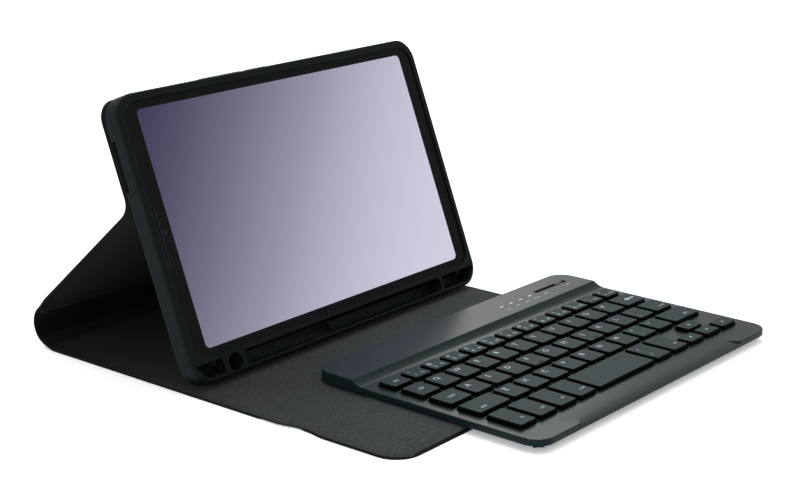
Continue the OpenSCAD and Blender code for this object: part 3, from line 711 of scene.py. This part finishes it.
class FolioPath:
    """The folio seen from its side, from the closing flap to the top of the upper panel."""

    def __init__(self):
        folio = settings().folio
        middle = folio.panel_thickness / 2
        gap = folio.fold_gap
        self.flap = ((-folio.flap_fold - gap, middle), folio.flap_front - folio.flap_fold - gap)
        self.strip = ((gap - folio.flap_fold, middle), folio.flap_fold - folio.strip_fold - 2 * gap)
        front_length = folio.strip_fold + folio.spine_fold - 2 * gap - folio.spine_run
        self.front = ((gap - folio.strip_fold, middle), front_length)
        rise = folio.spine_top_z - middle
        run = folio.spine_top_y - folio.spine_fold
        chord = math.hypot(rise, run)
        self.spine_radius = (chord ** 2 / 4 + folio.spine_bulge ** 2) / (2 * folio.spine_bulge)
        self.spine_turn = math.atan2(rise, run) - math.pi / 2
        self.spine_half = math.asin(chord / 2 / self.spine_radius) - folio.spine_soft
        sink = self.spine_radius - folio.spine_bulge
        self.spine_centre = (
            (folio.spine_fold + folio.spine_top_y) / 2 - sink * math.cos(self.spine_turn),
            (middle + folio.spine_top_z) / 2 - sink * math.sin(self.spine_turn),
        )
        tray = tray_place()
        depth = settings().tray.depth + middle
        crease = tray @ Vector((0, depth, folio.crease_height))
        self.lower_heading = math.atan2(crease.z - folio.spine_top_z, crease.y - folio.spine_top_y)
        length = math.hypot(crease.z - folio.spine_top_z, crease.y - folio.spine_top_y)
        ease_in = gap + folio.spine_run
        self.lower = (
            (folio.spine_top_y + ease_in * math.cos(self.lower_heading),
             folio.spine_top_z + ease_in * math.sin(self.lower_heading)),
            length - ease_in - folio.crease_gap - folio.crease_soft,
        )
        start = folio.crease_height + gap + folio.crease_soft
        upper = tray @ Vector((0, depth, start))
        self.upper_heading = math.pi / 2 - settings().tray.lean
        self.upper = ((upper.y, upper.z), settings().tray.height - 0.0001 - start)

    def spine_rows(self, soft, stiff, half_width, count=28):
        """Rows of the spine: soft in its middle, thickening to the panels at its ends."""
        rows = []
        for index in range(count + 1):
            swell = ease((abs(2 * index / count - 1) - 0.55) / 0.45)
            thickness = soft + (stiff - soft) * swell
            angle = self.spine_turn + self.spine_half * (2 * index / count - 1)
            radius = self.spine_radius - thickness / 2
            rows.append(Row(
                self.spine_centre[0] + radius * math.cos(angle),
                self.spine_centre[1] + radius * math.sin(angle),
                angle + math.pi / 2, thickness, half_width,
            ))
        return rows


def row_at(start, heading, distance, thickness, half_width):
    return Row(
        start[0] + math.cos(heading) * distance, start[1] + math.sin(heading) * distance,
        heading, thickness, half_width,
    )


def folio_materials():
    folio = settings().folio
    return [
        use_finish("leather", leather_finish, tuple(folio.leather)),
        use_finish("lining", lining_finish, tuple(folio.lining), tuple(folio.back_lining_shade)),
    ]


# ---------------------------------------------------------------- operators


class CASE_OT_stage(bpy.types.Operator):
    """Adds the floor, the lights and the camera"""

    bl_idname = "case.stage"
    bl_label = "Stage"

    def execute(self, context):
        stage = settings().stage
        self.floor(tuple(stage.floor))
        self.lights(context)
        self.camera(context, stage)
        return {"FINISHED"}

    def floor(self, colour):
        bm = bmesh.new()
        bmesh.ops.create_grid(bm, x_segments=12, y_segments=12, size=6.0)
        finish = Finish("studio_floor", roughness=0.9, specular_ior_level=0.1)
        finish.shader.inputs["Emission Color"].default_value = (1.0, 1.0, 1.0, 1.0)
        finish.shader.inputs["Emission Strength"].default_value = 0.28
        paper = finish.noise(60.0, 2.0)
        material = finish.feed(
            base_color=finish.mix(paper, shade(colour, 0.99), colour)
        )
        new_piece("studio_floor", bm, Matrix.Translation((0, 0, -0.0001)), [material])

    def lights(self, context):
        world = bpy.data.worlds.new("studio")
        world.use_nodes = True
        background = world.node_tree.nodes["Background"]
        background.inputs["Color"].default_value = (1.0, 1.0, 1.0, 1.0)
        background.inputs["Strength"].default_value = 1.0
        context.scene.world = world
        panels = [
            ("overhead", (0.1, 0.25, 1.5), 1.2, 11.0),
            ("left_front", (-1.4, -0.7, 0.9), 0.9, 4.0),
            ("back_right", (1.3, 1.1, 1.0), 1.0, 11.0),
        ]
        for name, place, size, power in panels:
            light = bpy.data.lights.new(name, "AREA")
            light.shape = "DISK"
            light.size = size
            light.energy = power
            lamp = bpy.data.objects.new(name, light)
            lamp.location = place
            aim = Vector((0.03, -0.03, 0.05)) - Vector(place)
            lamp.rotation_euler = aim.to_track_quat("-Z", "Y").to_euler()
            context.scene.collection.objects.link(lamp)
        context.scene.view_settings.view_transform = "Standard"

    def camera(self, context, stage):
        data = bpy.data.cameras.new("camera")
        data.sensor_width = 36.0
        data.lens = stage.lens
        data.shift_x = -0.0049
        data.shift_y = 0.0063
        data.clip_end = 50.0
        az, el = stage.azimuth, stage.elevation
        back = Vector((math.sin(az) * math.cos(el), -math.cos(az) * math.cos(el), math.sin(el)))
        level = Vector((math.cos(az), math.sin(az), 0.0))
        upright = back.cross(level)
        across = level * math.cos(stage.roll) + upright * math.sin(stage.roll)
        up = upright * math.cos(stage.roll) - level * math.sin(stage.roll)
        camera = bpy.data.objects.new("camera", data)
        camera.matrix_world = Matrix.Translation(stage.eye) @ Matrix(
            (across, up, back)
        ).transposed().to_4x4()
        context.scene.collection.objects.link(camera)
        context.scene.camera = camera


class CASE_OT_panels(bpy.types.Operator):
    """Builds the folio's stiff panels in leather and lining"""

    bl_idname = "case.panels"
    bl_label = "Folio Panels"

    def execute(self, context):
        folio = settings().folio
        path = FolioPath()
        thick, rim = folio.panel_thickness, folio.rim
        wide = folio.panel_half_width
        plans = [
            ("front_cover_panel", "front_cover",
             panel_rows(*self.turned(path.front, 0.0), thick, (wide, wide)),
             ("front_cover_skin", "front_cover_lining")),
            ("closing_flap_panel", "closing_flap", self.flap_rows(path, folio),
             ("flap_skin", "flap_lining")),
            ("lower_back_panel", "lower_panel",
             panel_rows(*self.turned(path.lower, path.lower_heading), thick, (wide, wide)),
             ("lower_panel_skin", "lower_panel_lining")),
            ("upper_back_panel", "tray",
             panel_rows(*self.turned(path.upper, path.upper_heading), thick,
                        (folio.upper_half_width, folio.upper_half_width), folio.upper_radius),
             ("upper_panel_skin",)),
        ]
        for name, body, rows, nodes in plans:
            piece = ribbon(name, rows, rim, folio_materials())
            if body == "tray":
                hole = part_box("tablet_rear_camera")
                middle = tray_place().inverted() @ ((hole[0] + hole[1]) / 2)
                reach = Vector((0, 0.02, 0))
                cut(piece, [tube_between(
                    "cutter", middle - reach, middle + reach, folio.window_radius, tray_place()
                )])
            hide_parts(*nodes)
            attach(piece, body)
        return {"FINISHED"}

    def turned(self, panel, heading):
        return panel[0], heading, panel[1]

    def flap_rows(self, path, folio):
        """The flap's rows, listed from its front edge back to its fold."""
        start, length = path.flap
        widths = (folio.waist_half_width, folio.flap_half_width)
        rows = panel_rows(start, 0.0, length, folio.panel_thickness, widths, folio.flap_radius,
                          folio.waist_run)
        for row in rows:
            row.y = 2 * start[0] - row.y
        return rows[::-1]


class CASE_OT_folds(bpy.types.Operator):
    """Builds the spine, the soft strip and the folds that join the panels"""

    bl_idname = "case.folds"
    bl_label = "Spine And Folds"

    def execute(self, context):
        folio = settings().folio
        path = FolioPath()
        thick, soft, rim = folio.panel_thickness, folio.soft_thickness, folio.rim
        wide, waist = folio.panel_half_width, folio.waist_half_width
        spine = path.spine_rows(soft, thick, wide)
        strip = []
        for index in range(17):
            step = path.strip[1] * index / 16
            width = waist + (wide - waist) * ease(step / folio.waist_run)
            strip.append(row_at(path.strip[0], 0.0, step, soft, width))
        pieces = [("spine_cover", spine, "spine", ("spine_skin", "spine_lining")),
                  ("soft_strip", strip, "flap_strip", ("flap_strip_skin", "flap_strip_lining"))]
        for name, rows, body, nodes in pieces:
            piece = ribbon(name, rows, rim, folio_materials())
            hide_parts(*nodes)
            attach(piece, body)
        upper = folio.upper_half_width
        ends = [
            ("flap_fold", row_at(path.flap[0], 0.0, 0.0, thick, waist), strip[0],
             "closing_flap", "flap_strip", 1.0),
            ("strip_fold", strip[-1], row_at(path.front[0], 0.0, 0.0, thick, wide),
             "flap_strip", "front_cover", 1.0),
            ("spine_fold", row_at(path.front[0], 0.0, path.front[1], thick, wide), spine[0],
             "front_cover", "spine", 1.0),
            ("spine_top_fold", spine[-1],
             row_at(path.lower[0], path.lower_heading, 0.0, thick, wide), "spine", "lower_panel", 1.0),
            ("crease_fold", row_at(path.lower[0], path.lower_heading, path.lower[1], thick, wide),
             row_at(path.upper[0], path.upper_heading, 0.0, thick, upper), "lower_panel", "tray", 1.1),
        ]
        for name, first, last, body_a, body_b, pull in ends:
            piece = ribbon(name, fold_rows(first, last, pull), rim, folio_materials())
            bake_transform(piece)
        return {"FINISHED"}


class CASE_OT_tray(bpy.types.Operator):
    """Rounds the moulded tray, its front frame and its button covers"""

    bl_idname = "case.tray"
    bl_label = "Tray"

    def execute(self, context):
        tray = settings().tray
        place = tray_place()
        plastic = use_finish("tray", moulded_finish, "tray_plastic", tuple(tray.plastic), 0.5)
        fine = 0.00022

        def round_of(point):
            edge = outside_round(
                (point.x, point.z), tray.half_width, 0.0, tray.height, tray.corner_radius
            )
            at_face = point.y < 0.0001 or point.y > tray.depth - 0.0001
            return tray.edge_round if edge > -0.00005 and at_face else fine

        frame_colour = shade(tuple(tray.plastic), tray.frame_shade)
        dark = use_finish("frame", moulded_finish, "tray_frame_plastic", frame_colour, 0.42)
        plans = [
            ("tray_body", ["tray_shell"], "tray", plastic),
            ("tray_front_frame", ["tray_rim"], "tray", dark),
            ("power_button_cover", ["tray_power_pad"], "power_pad", plastic),
            ("volume_button_cover", ["tray_volume_pad"], "volume_pad", plastic),
        ]
        for name, nodes, body, material in plans:
            piece = softened(name, nodes, place, round_of, tray.edge_round, material)
            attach(piece, body)
        return {"FINISHED"}


class CASE_OT_tablet(bpy.types.Operator):
    """Builds the tablet's glass, lit screen, earpiece and cameras"""

    bl_idname = "case.tablet"
    bl_label = "Tablet"

    def execute(self, context):
        tablet = settings().tablet
        place = tray_place()
        glass = use_finish("glass", glass_finish, tuple(tablet.bezel))
        metal = use_finish("tablet_body", moulded_finish, "tablet_body", tuple(tablet.body), 0.42)
        lens = use_finish("lens", lens_finish)
        screen = use_finish(
            "screen", screen_finish, tuple(tablet.deep), tuple(tablet.pale), tuple(tablet.white)
        )
        front = tablet.glass_front
        plans = [
            ("tablet_front_glass", ["tablet_glass"], 0.0004, glass, "front_glass"),
            ("tablet_back_shell", ["tablet_housing"], 0.0009, metal, "tablet_body"),
            ("tablet_rear_lens", ["tablet_rear_camera"], 0.0004, lens, "camera"),
        ]
        for name, nodes, radius, material, slot in plans:
            piece = softened(name, nodes, place, lambda point: radius, radius, material)
            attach(piece, "tablet")
        lit = self.inlay(
            "tablet_screen", 0.0, tablet.screen_low + tablet.screen_height / 2,
            tablet.screen_half_width, tablet.screen_height / 2, tablet.screen_corner, front,
            place, screen
        )
        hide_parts("tablet_display")
        slit = self.inlay(
            "earpiece_slit", -tablet.earpiece_x, tablet.earpiece_z, 0.00035,
            tablet.earpiece_half, 0.0003, front, place, lens
        )
        round_lens = tablet.camera_radius
        camera = self.inlay(
            "front_camera", -tablet.camera_x, tablet.camera_z, round_lens, round_lens,
            round_lens - 0.00001, front, place, lens
        )
        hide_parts("tablet_front_camera")
        for piece in (lit, slit, camera):
            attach(piece, "tablet")
        return {"FINISHED"}

    def inlay(self, name, x, z, half_width, half_height, radius, front, place, material):
        """A thin rounded pane laid on the glass, with a softened edge."""
        bm = bmesh.new()
        loops = []
        for inset, depth in ((0.0, 0.0), (0.0, -0.00002), (0.00005, -0.00003)):
            loop = []
            for quarter in range(4):
                side_x = 1 if quarter in (0, 3) else -1
                side_z = 1 if quarter in (0, 1) else -1
                for step in range(9):
                    angle = math.pi / 2 * (quarter + step / 8)
                    reach = radius - inset
                    loop.append(bm.verts.new((
                        x + side_x * (half_width - radius) + reach * math.cos(angle),
                        front + depth,
                        z + side_z * (half_height - radius) + reach * math.sin(angle),
                    )))
            loops.append(loop)
        count = len(loops[0])
        for low, high in zip(loops, loops[1:]):
            for spot in range(count):
                after = (spot + 1) % count
                bm.faces.new((low[spot], low[after], high[after], high[spot]))
        bm.faces.new(loops[0])
        bm.faces.new(reversed(loops[-1]))
        return new_piece(name, bm, place, [material])


class CASE_OT_keyboard(bpy.types.Operator):
    """Rounds the keyboard's shells"""

    bl_idname = "case.keyboard"
    bl_label = "Keyboard Shells"

    def execute(self, context):
        keyboard = settings().keyboard
        place = keyboard_place()
        shell = use_finish("shell", deck_finish, tuple(keyboard.shell))
        fine, parting = 0.0002, 0.00004

        def round_of(point):
            edge = outside_round(
                (point.x, point.y), keyboard.half_width, -keyboard.half_depth, keyboard.half_depth,
                keyboard.corner_radius,
            )
            if 0.0040 < point.z < 0.0060:
                return parting
            if edge < -0.0004 or point.z > 0.0070:
                return fine
            return keyboard.edge_round if point.z < 0.0040 else keyboard.deck_round

        shells = {"keyboard_deck": "keyboard_top_shell", "keyboard_base": "keyboard_bottom_shell"}
        for name, node in shells.items():
            piece = softened(
                name, [node], place, round_of, keyboard.edge_round, shell, merge=False
            )
            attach(piece, "keyboard")
        return {"FINISHED"}


KEY_BODIES = {
    "key_numbers": "numbers", "key_tab": "tab", "key_top_letters": "top_letters",
    "key_backspace": "backspace", "key_caps": "caps", "key_home_letters": "home_letters",
    "key_enter": "enter", "key_shift_left": "shift_left", "key_bottom_letters": "bottom_letters",
    "key_shift_right": "shift_right", "key_modifiers_left": "modifiers_left", "key_space": "space",
    "key_modifiers_right": "modifiers_right", "key_arrow_left": "arrow_left",
    "key_arrow_down": "arrow_down", "key_arrow_up": "arrow_up", "key_arrow_right": "arrow_right",
}


def caps_of(node):
    """Each cap's low and high corner in the keyboard's frame, from left to right."""
    bm = bmesh.new()
    bm.from_mesh(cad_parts[node].data)
    bmesh.ops.remove_doubles(bm, verts=bm.verts, dist=2e-6)
    bm.transform(keyboard_place().inverted())
    found = []
    waiting = set(bm.verts)
    while waiting:
        island = [waiting.pop()]
        for vert in island:
            for edge in vert.link_edges:
                other = edge.other_vert(vert)
                if other in waiting:
                    waiting.remove(other)
                    island.append(other)
        low = Vector([min(v.co[axis] for v in island) for axis in range(3)])
        high = Vector([max(v.co[axis] for v in island) for axis in range(3)])
        if high.x - low.x > 0.006:
            found.append((low, high))
    bm.free()
    top = min(high.z for low, high in found)
    for low, high in found:
        high.z = top
    return sorted(found, key=lambda corners: corners[0].x)


def rounded_loop(bm, low, high, inset, radius, z, turns=6):
    """A flat loop of vertices round a rectangle drawn smaller by the inset."""
    loop = []
    middle_x, middle_y = (low.x + high.x) / 2, (low.y + high.y) / 2
    reach_x, reach_y = (high.x - low.x) / 2 - inset - radius, (high.y - low.y) / 2 - inset - radius
    for quarter in range(4):
        side_x = 1 if quarter in (0, 3) else -1
        side_y = 1 if quarter in (0, 1) else -1
        for step in range(turns + 1):
            angle = math.pi / 2 * (quarter + step / turns)
            loop.append(bm.verts.new((
                middle_x + side_x * reach_x + radius * math.cos(angle),
                middle_y + side_y * reach_y + radius * math.sin(angle), z,
            )))
    return loop


def skin_loops(bm, loops, flanks=None):
    """Closes a stack of equal loops into one solid; its lower bands take the flank finish."""
    flanks = len(loops) if flanks is None else flanks
    count = len(loops[0])
    for band, (lower, upper) in enumerate(zip(loops, loops[1:])):
        for spot in range(count):
            after = (spot + 1) % count
            face = bm.faces.new((lower[spot], lower[after], upper[after], upper[spot]))
            face.material_index = 1 if band < flanks else 0
    bm.faces.new(loops[0][::-1]).material_index = 1
    bm.faces.new(loops[-1]).material_index = 1 if flanks >= len(loops) else 0


class CASE_OT_keycaps(bpy.types.Operator):
    """Builds every keycap: tapered flanks, a soft top edge and a faintly dished top"""

    bl_idname = "case.keycaps"
    bl_label = "Keycaps"

    def execute(self, context):
        keyboard = settings().keyboard
        cap = use_finish("cap_top", keycap_finish, "keycap_top", tuple(keyboard.keycap))
        # Painted shade: the flanks take a near-black copy of the cap finish.
        flank = use_finish("cap_flank_shade", keycap_finish, "keycap_flank", tuple(keyboard.key_flank_shade))
        for node, body in KEY_BODIES.items():
            bm = bmesh.new()
            for index, (low, high) in enumerate(caps_of(node)):
                self.cap(bm, low, high, keyboard)
                if node == "key_home_letters" and index in (3, 6):
                    self.homing_bar(bm, low, high)
            piece = new_piece("caps_" + body, bm, keyboard_place(), [cap, flank], 60.0)
            weigh_normals(piece)
            apply_modifiers(piece)
            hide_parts(node)
            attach(piece, body)
        return {"FINISHED"}

    def cap(self, bm, low, high, keyboard):
        taper, edge, radius = keyboard.key_taper, keyboard.key_round, keyboard.key_radius
        loops = []
        for inset, drop in (
            (0.0, high.z - low.z), (taper * 0.25, edge * 3.2), (taper * 0.75, edge * 1.5),
            (taper, edge * 0.6), (taper + edge * 0.35, edge * 0.18), (taper + edge, 0.0),
            (taper + edge * 3, 0.00003), (taper + edge * 6, 0.00005),
        ):
            loops.append(rounded_loop(bm, low, high, inset, radius, high.z - drop))
        skin_loops(bm, loops, 4)

    def homing_bar(self, bm, low, high):
        middle = (low + high) / 2
        reach = Vector((0.0015, 0.00032, 0.0))
        middle.y = low.y + (high.y - low.y) / 7
        loops = [
            rounded_loop(bm, middle - reach, middle + reach, inset, 0.00014, high.z + rise, 3)
            for inset, rise in ((0.0, -0.0001), (0.0, 0.00006), (0.00006, 0.00013))
        ]
        skin_loops(bm, loops)


# Each cap's legends: upper left, lower left and lower right, parted by blanks.
LEGENDS = {
    "key_numbers": [
        "esc", "! 1 F1", "@ 2 F2", "# 3 F3", "$ 4 F4", "% 5 F5", "^ 6 F6", "& 7 F7", "* 8 F8",
        "( 9 F9", ") 0 F10", "_ - F11", "+ = F12",
    ],
    "key_top_letters": list("QWERTYUIOP"),
    "key_home_letters": [*"ASDFGHJKL", ": ;"],
    "key_bottom_letters": [*"ZXCVBNM", "< ,", "> ."],
    "key_tab": ["tab"],
    "key_backspace": ["<-"],
    "key_caps": ["caps"],
    "key_enter": [". . enter"],
    "key_shift_left": [". shift"],
    "key_shift_right": [". . shift"],
    "key_modifiers_left": [". . fn", ". . ctrl", ". . alt", ". . cmd"],
    "key_modifiers_right": ["? /", ". . alt"],
    "key_arrow_left": ["left"],
    "key_arrow_down": ["down"],
    "key_arrow_up": ["up"],
    "key_arrow_right": ["right"],
}
POINTERS = {"left": 180.0, "down": 270.0, "up": 90.0, "right": 0.0, "<-": 180.0}


def add_word(bm, word, x, y, z, size):
    """Adds one word as flat lettering about a point."""
    text = bpy.data.curves.new("word", "FONT")
    text.body = word
    text.size = size
    text.resolution_u = 2
    text.offset = size * 0.006
    text.align_x = "CENTER"
    text.align_y = "CENTER"
    holder = bpy.data.objects.new("word", text)
    bpy.context.scene.collection.objects.link(holder)
    graph = bpy.context.evaluated_depsgraph_get()
    mesh = bpy.data.meshes.new_from_object(holder.evaluated_get(graph))
    mesh.transform(Matrix.Translation((x, y, z)))
    bm.from_mesh(mesh)
    bpy.data.objects.remove(holder)
    bpy.data.curves.remove(text)
    bpy.data.meshes.remove(mesh)


def add_pointer(bm, degrees, x, y, z, size, stem):
    """Adds a flat arrow head, with a stem if it has one."""
    turn = Matrix.Translation((x, y, z)) @ Matrix.Rotation(math.radians(degrees), 4, "Z")
    outline = [(size * 0.5, 0.0), (-size * 0.3, size * 0.5), (-size * 0.3, -size * 0.5)]
    bm.faces.new([bm.verts.new(turn @ Vector((a, b, 0.0))) for a, b in outline])
    if stem:
        outline = [
            (-size * 0.3, size * 0.14), (-size * 1.9, size * 0.14),
            (-size * 1.9, -size * 0.14), (-size * 0.3, -size * 0.14),
        ]
        bm.faces.new([bm.verts.new(turn @ Vector((a, b, 0.0))) for a, b in outline])


class CASE_OT_legends(bpy.types.Operator):
    """Prints plain letters, signs and arrows on the keycaps"""

    bl_idname = "case.legends"
    bl_label = "Key Legends"

    def execute(self, context):
        keyboard = settings().keyboard
        ink = use_finish("ink", ink_finish, tuple(keyboard.legend))
        for node, words in LEGENDS.items():
            bm = bmesh.new()
            for word, (low, high) in zip(words, caps_of(node)):
                self.print_cap(bm, word, low, high, keyboard.legend_size)
            piece = new_piece("legends_" + KEY_BODIES[node], bm, keyboard_place(), [ink])
            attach(piece, KEY_BODIES[node])
        return {"FINISHED"}

    def print_cap(self, bm, word, low, high, size):
        """Places up to three small legends, or one letter up and to the left of the middle."""
        middle = (low + high) / 2
        wide, deep = high.x - low.x, high.y - low.y
        z = high.z + 0.00002
        if word in POINTERS:
            stem = word == "<-"
            add_pointer(bm, POINTERS[word], middle.x, middle.y, z, size * (0.8 if stem else 0.46), stem)
            return
        parts = word.split()
        if len(parts) == 1:
            if len(word) == 1:
                add_word(bm, word, middle.x - wide * 0.12, middle.y + deep * 0.17, z, size)
            else:
                add_word(bm, word, middle.x, middle.y, z, size * 0.68)
            return
        spots = ((-0.22, 0.2), (-0.22, -0.2), (0.2, -0.2))
        for part, (across, up) in zip(parts, spots):
            if part == ".":
                continue
            scale = 0.76 if len(part) == 1 else 0.56
            shift = across if wide < 0.016 or len(part) == 1 else across * 0.8
            add_word(bm, part, middle.x + wide * shift, middle.y + deep * up, z, size * scale)


class CASE_OT_small_parts(bpy.types.Operator):
    """Finishes the switch, lights, socket, feet, screws and the hidden pieces"""

    bl_idname = "case.small_parts"
    bl_label = "Small Parts"

    def execute(self, context):
        place = keyboard_place()
        steel = use_finish("steel", metal_finish, "bright_steel", (0.62, 0.63, 0.64), 0.28)
        rubber = use_finish("rubber", moulded_finish, "foot_rubber", (0.012, 0.012, 0.012), 0.75)
        window = use_finish("window", moulded_finish, "light_window", (0.45, 0.50, 0.50), 0.3)
        black = use_finish("knob", moulded_finish, "switch_black", (0.0012, 0.0014, 0.0015), 0.2)
        knob = softened(
            "switch_knob", ["power_switch_knob"], place, lambda point: 0.00025, 0.00025, black
        )
        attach(knob, "power_switch")
        plans = [
            ("port_socket", "charging_port", 0.0001, steel, "steel"),
            ("light_windows", "status_lights", 0.0001, window, "light_window"),
            ("rubber_feet", "keyboard_feet", 0.0001, rubber, "soft_rubber"),
            ("base_screws", "keyboard_screws", 0.0001, steel, "steel"),
        ]
        for name, node, radius, material, slot in plans:
            piece = softened(name, [node], place, lambda point: radius, radius, material, 2)
            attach(piece, "keyboard")
        self.bar_marks(place)
        self.hidden(steel, rubber)
        return {"FINISHED"}

    def bar_marks(self, place):
        """Small plain words beside the lights and the switch."""
        ink = use_finish("ink", ink_finish, tuple(settings().keyboard.legend))
        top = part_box("keyboard_top_shell")[1].z + 0.00002
        bm = bmesh.new()
        small, large = 0.0019, 0.0023
        words = (
            ("caps", 0.0300, 0.0472, small), ("link", 0.0384, 0.0472, small),
            ("power", 0.0469, 0.0472, small), ("charge", 0.0552, 0.0472, small),
            ("off", 0.0644, 0.0480, large), ("on", 0.0851, 0.0484, large),
        )
        for word, x, y, size in words:
            add_word(bm, word, x, y, top, size)
        marks = new_piece("bar_marks", bm, place, [ink])
        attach(marks, "keyboard")

    def hidden(self, steel, rubber):
        """Gives the pieces that stay inside their own plain finishes."""
        board = use_finish("board", moulded_finish, "grey_board", (0.25, 0.22, 0.19), 0.9)
        film = use_finish("film", moulded_finish, "membrane_film", (0.55, 0.57, 0.53), 0.4)
        circuit = use_finish("circuit", moulded_finish, "circuit_board", (0.02, 0.10, 0.05), 0.4)
        wrap = use_finish("wrap", moulded_finish, "battery_wrap", (0.30, 0.31, 0.33), 0.45)
        inside = {
            "front_cover_board": board, "lower_panel_board": board, "upper_panel_board": board,
            "flap_board": board, "cover_magnets": steel, "flap_magnets": steel,
            "keyboard_magnets": steel, "key_support_plate": steel, "key_membrane": film,
            "key_domes": rubber, "circuit_board": circuit, "battery": wrap,
        }
        for node, material in inside.items():
            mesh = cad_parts[node].data
            mesh.materials.clear()
            mesh.materials.append(material)


# ---------------------------------------------------------------- panel and registration


STEPS = (
    CASE_OT_stage, CASE_OT_panels, CASE_OT_folds, CASE_OT_tray, CASE_OT_tablet,
    CASE_OT_keyboard, CASE_OT_keycaps, CASE_OT_legends, CASE_OT_small_parts,
)


class CaseSettings(bpy.types.PropertyGroup):
    folio: bpy.props.PointerProperty(type=FolioSettings, name="Folio", description="Folio sizes")
    tray: bpy.props.PointerProperty(type=TraySettings, name="Tray", description="Tray sizes")
    tablet: bpy.props.PointerProperty(type=TabletSettings, name="Tablet", description="Tablet sizes")
    keyboard: bpy.props.PointerProperty(
        type=KeyboardSettings, name="Keyboard", description="Keyboard sizes"
    )
    stage: bpy.props.PointerProperty(type=StageSettings, name="Stage", description="Camera and floor")


class CASE_PT_sidebar(bpy.types.Panel):
    """Lists the case's building steps and sizes"""

    bl_idname = "CASE_PT_sidebar"
    bl_label = "Tablet Keyboard Case"
    bl_space_type = "VIEW_3D"
    bl_region_type = "UI"
    bl_category = "Case"

    def draw(self, context):
        layout = self.layout
        for step in STEPS:
            layout.operator(step.bl_idname)
        for group in ("folio", "tray", "tablet", "keyboard", "stage"):
            chosen = getattr(context.scene.case_settings, group)
            box = layout.box()
            box.label(text=group.title())
            for name in chosen.bl_rna.properties.keys():
                if name not in ("rna_type", "name"):
                    box.prop(chosen, name)


GROUPS = (FolioSettings, TraySettings, TabletSettings, KeyboardSettings, StageSettings, CaseSettings)


def register():
    for kind in (*GROUPS, *STEPS, CASE_PT_sidebar):
        bpy.utils.register_class(kind)
    bpy.types.Scene.case_settings = bpy.props.PointerProperty(type=CaseSettings)


def unregister():
    del bpy.types.Scene.case_settings
    for kind in reversed((*GROUPS, *STEPS, CASE_PT_sidebar)):
        bpy.utils.unregister_class(kind)


def main():
    register()
    bpy.ops.case.stage()
    bpy.ops.case.panels()
    bpy.ops.case.folds()
    bpy.ops.case.tray()
    bpy.ops.case.tablet()
    bpy.ops.case.keyboard()
    bpy.ops.case.keycaps()
    bpy.ops.case.legends()
    bpy.ops.case.small_parts()


if __name__ == "__main__":
    main()
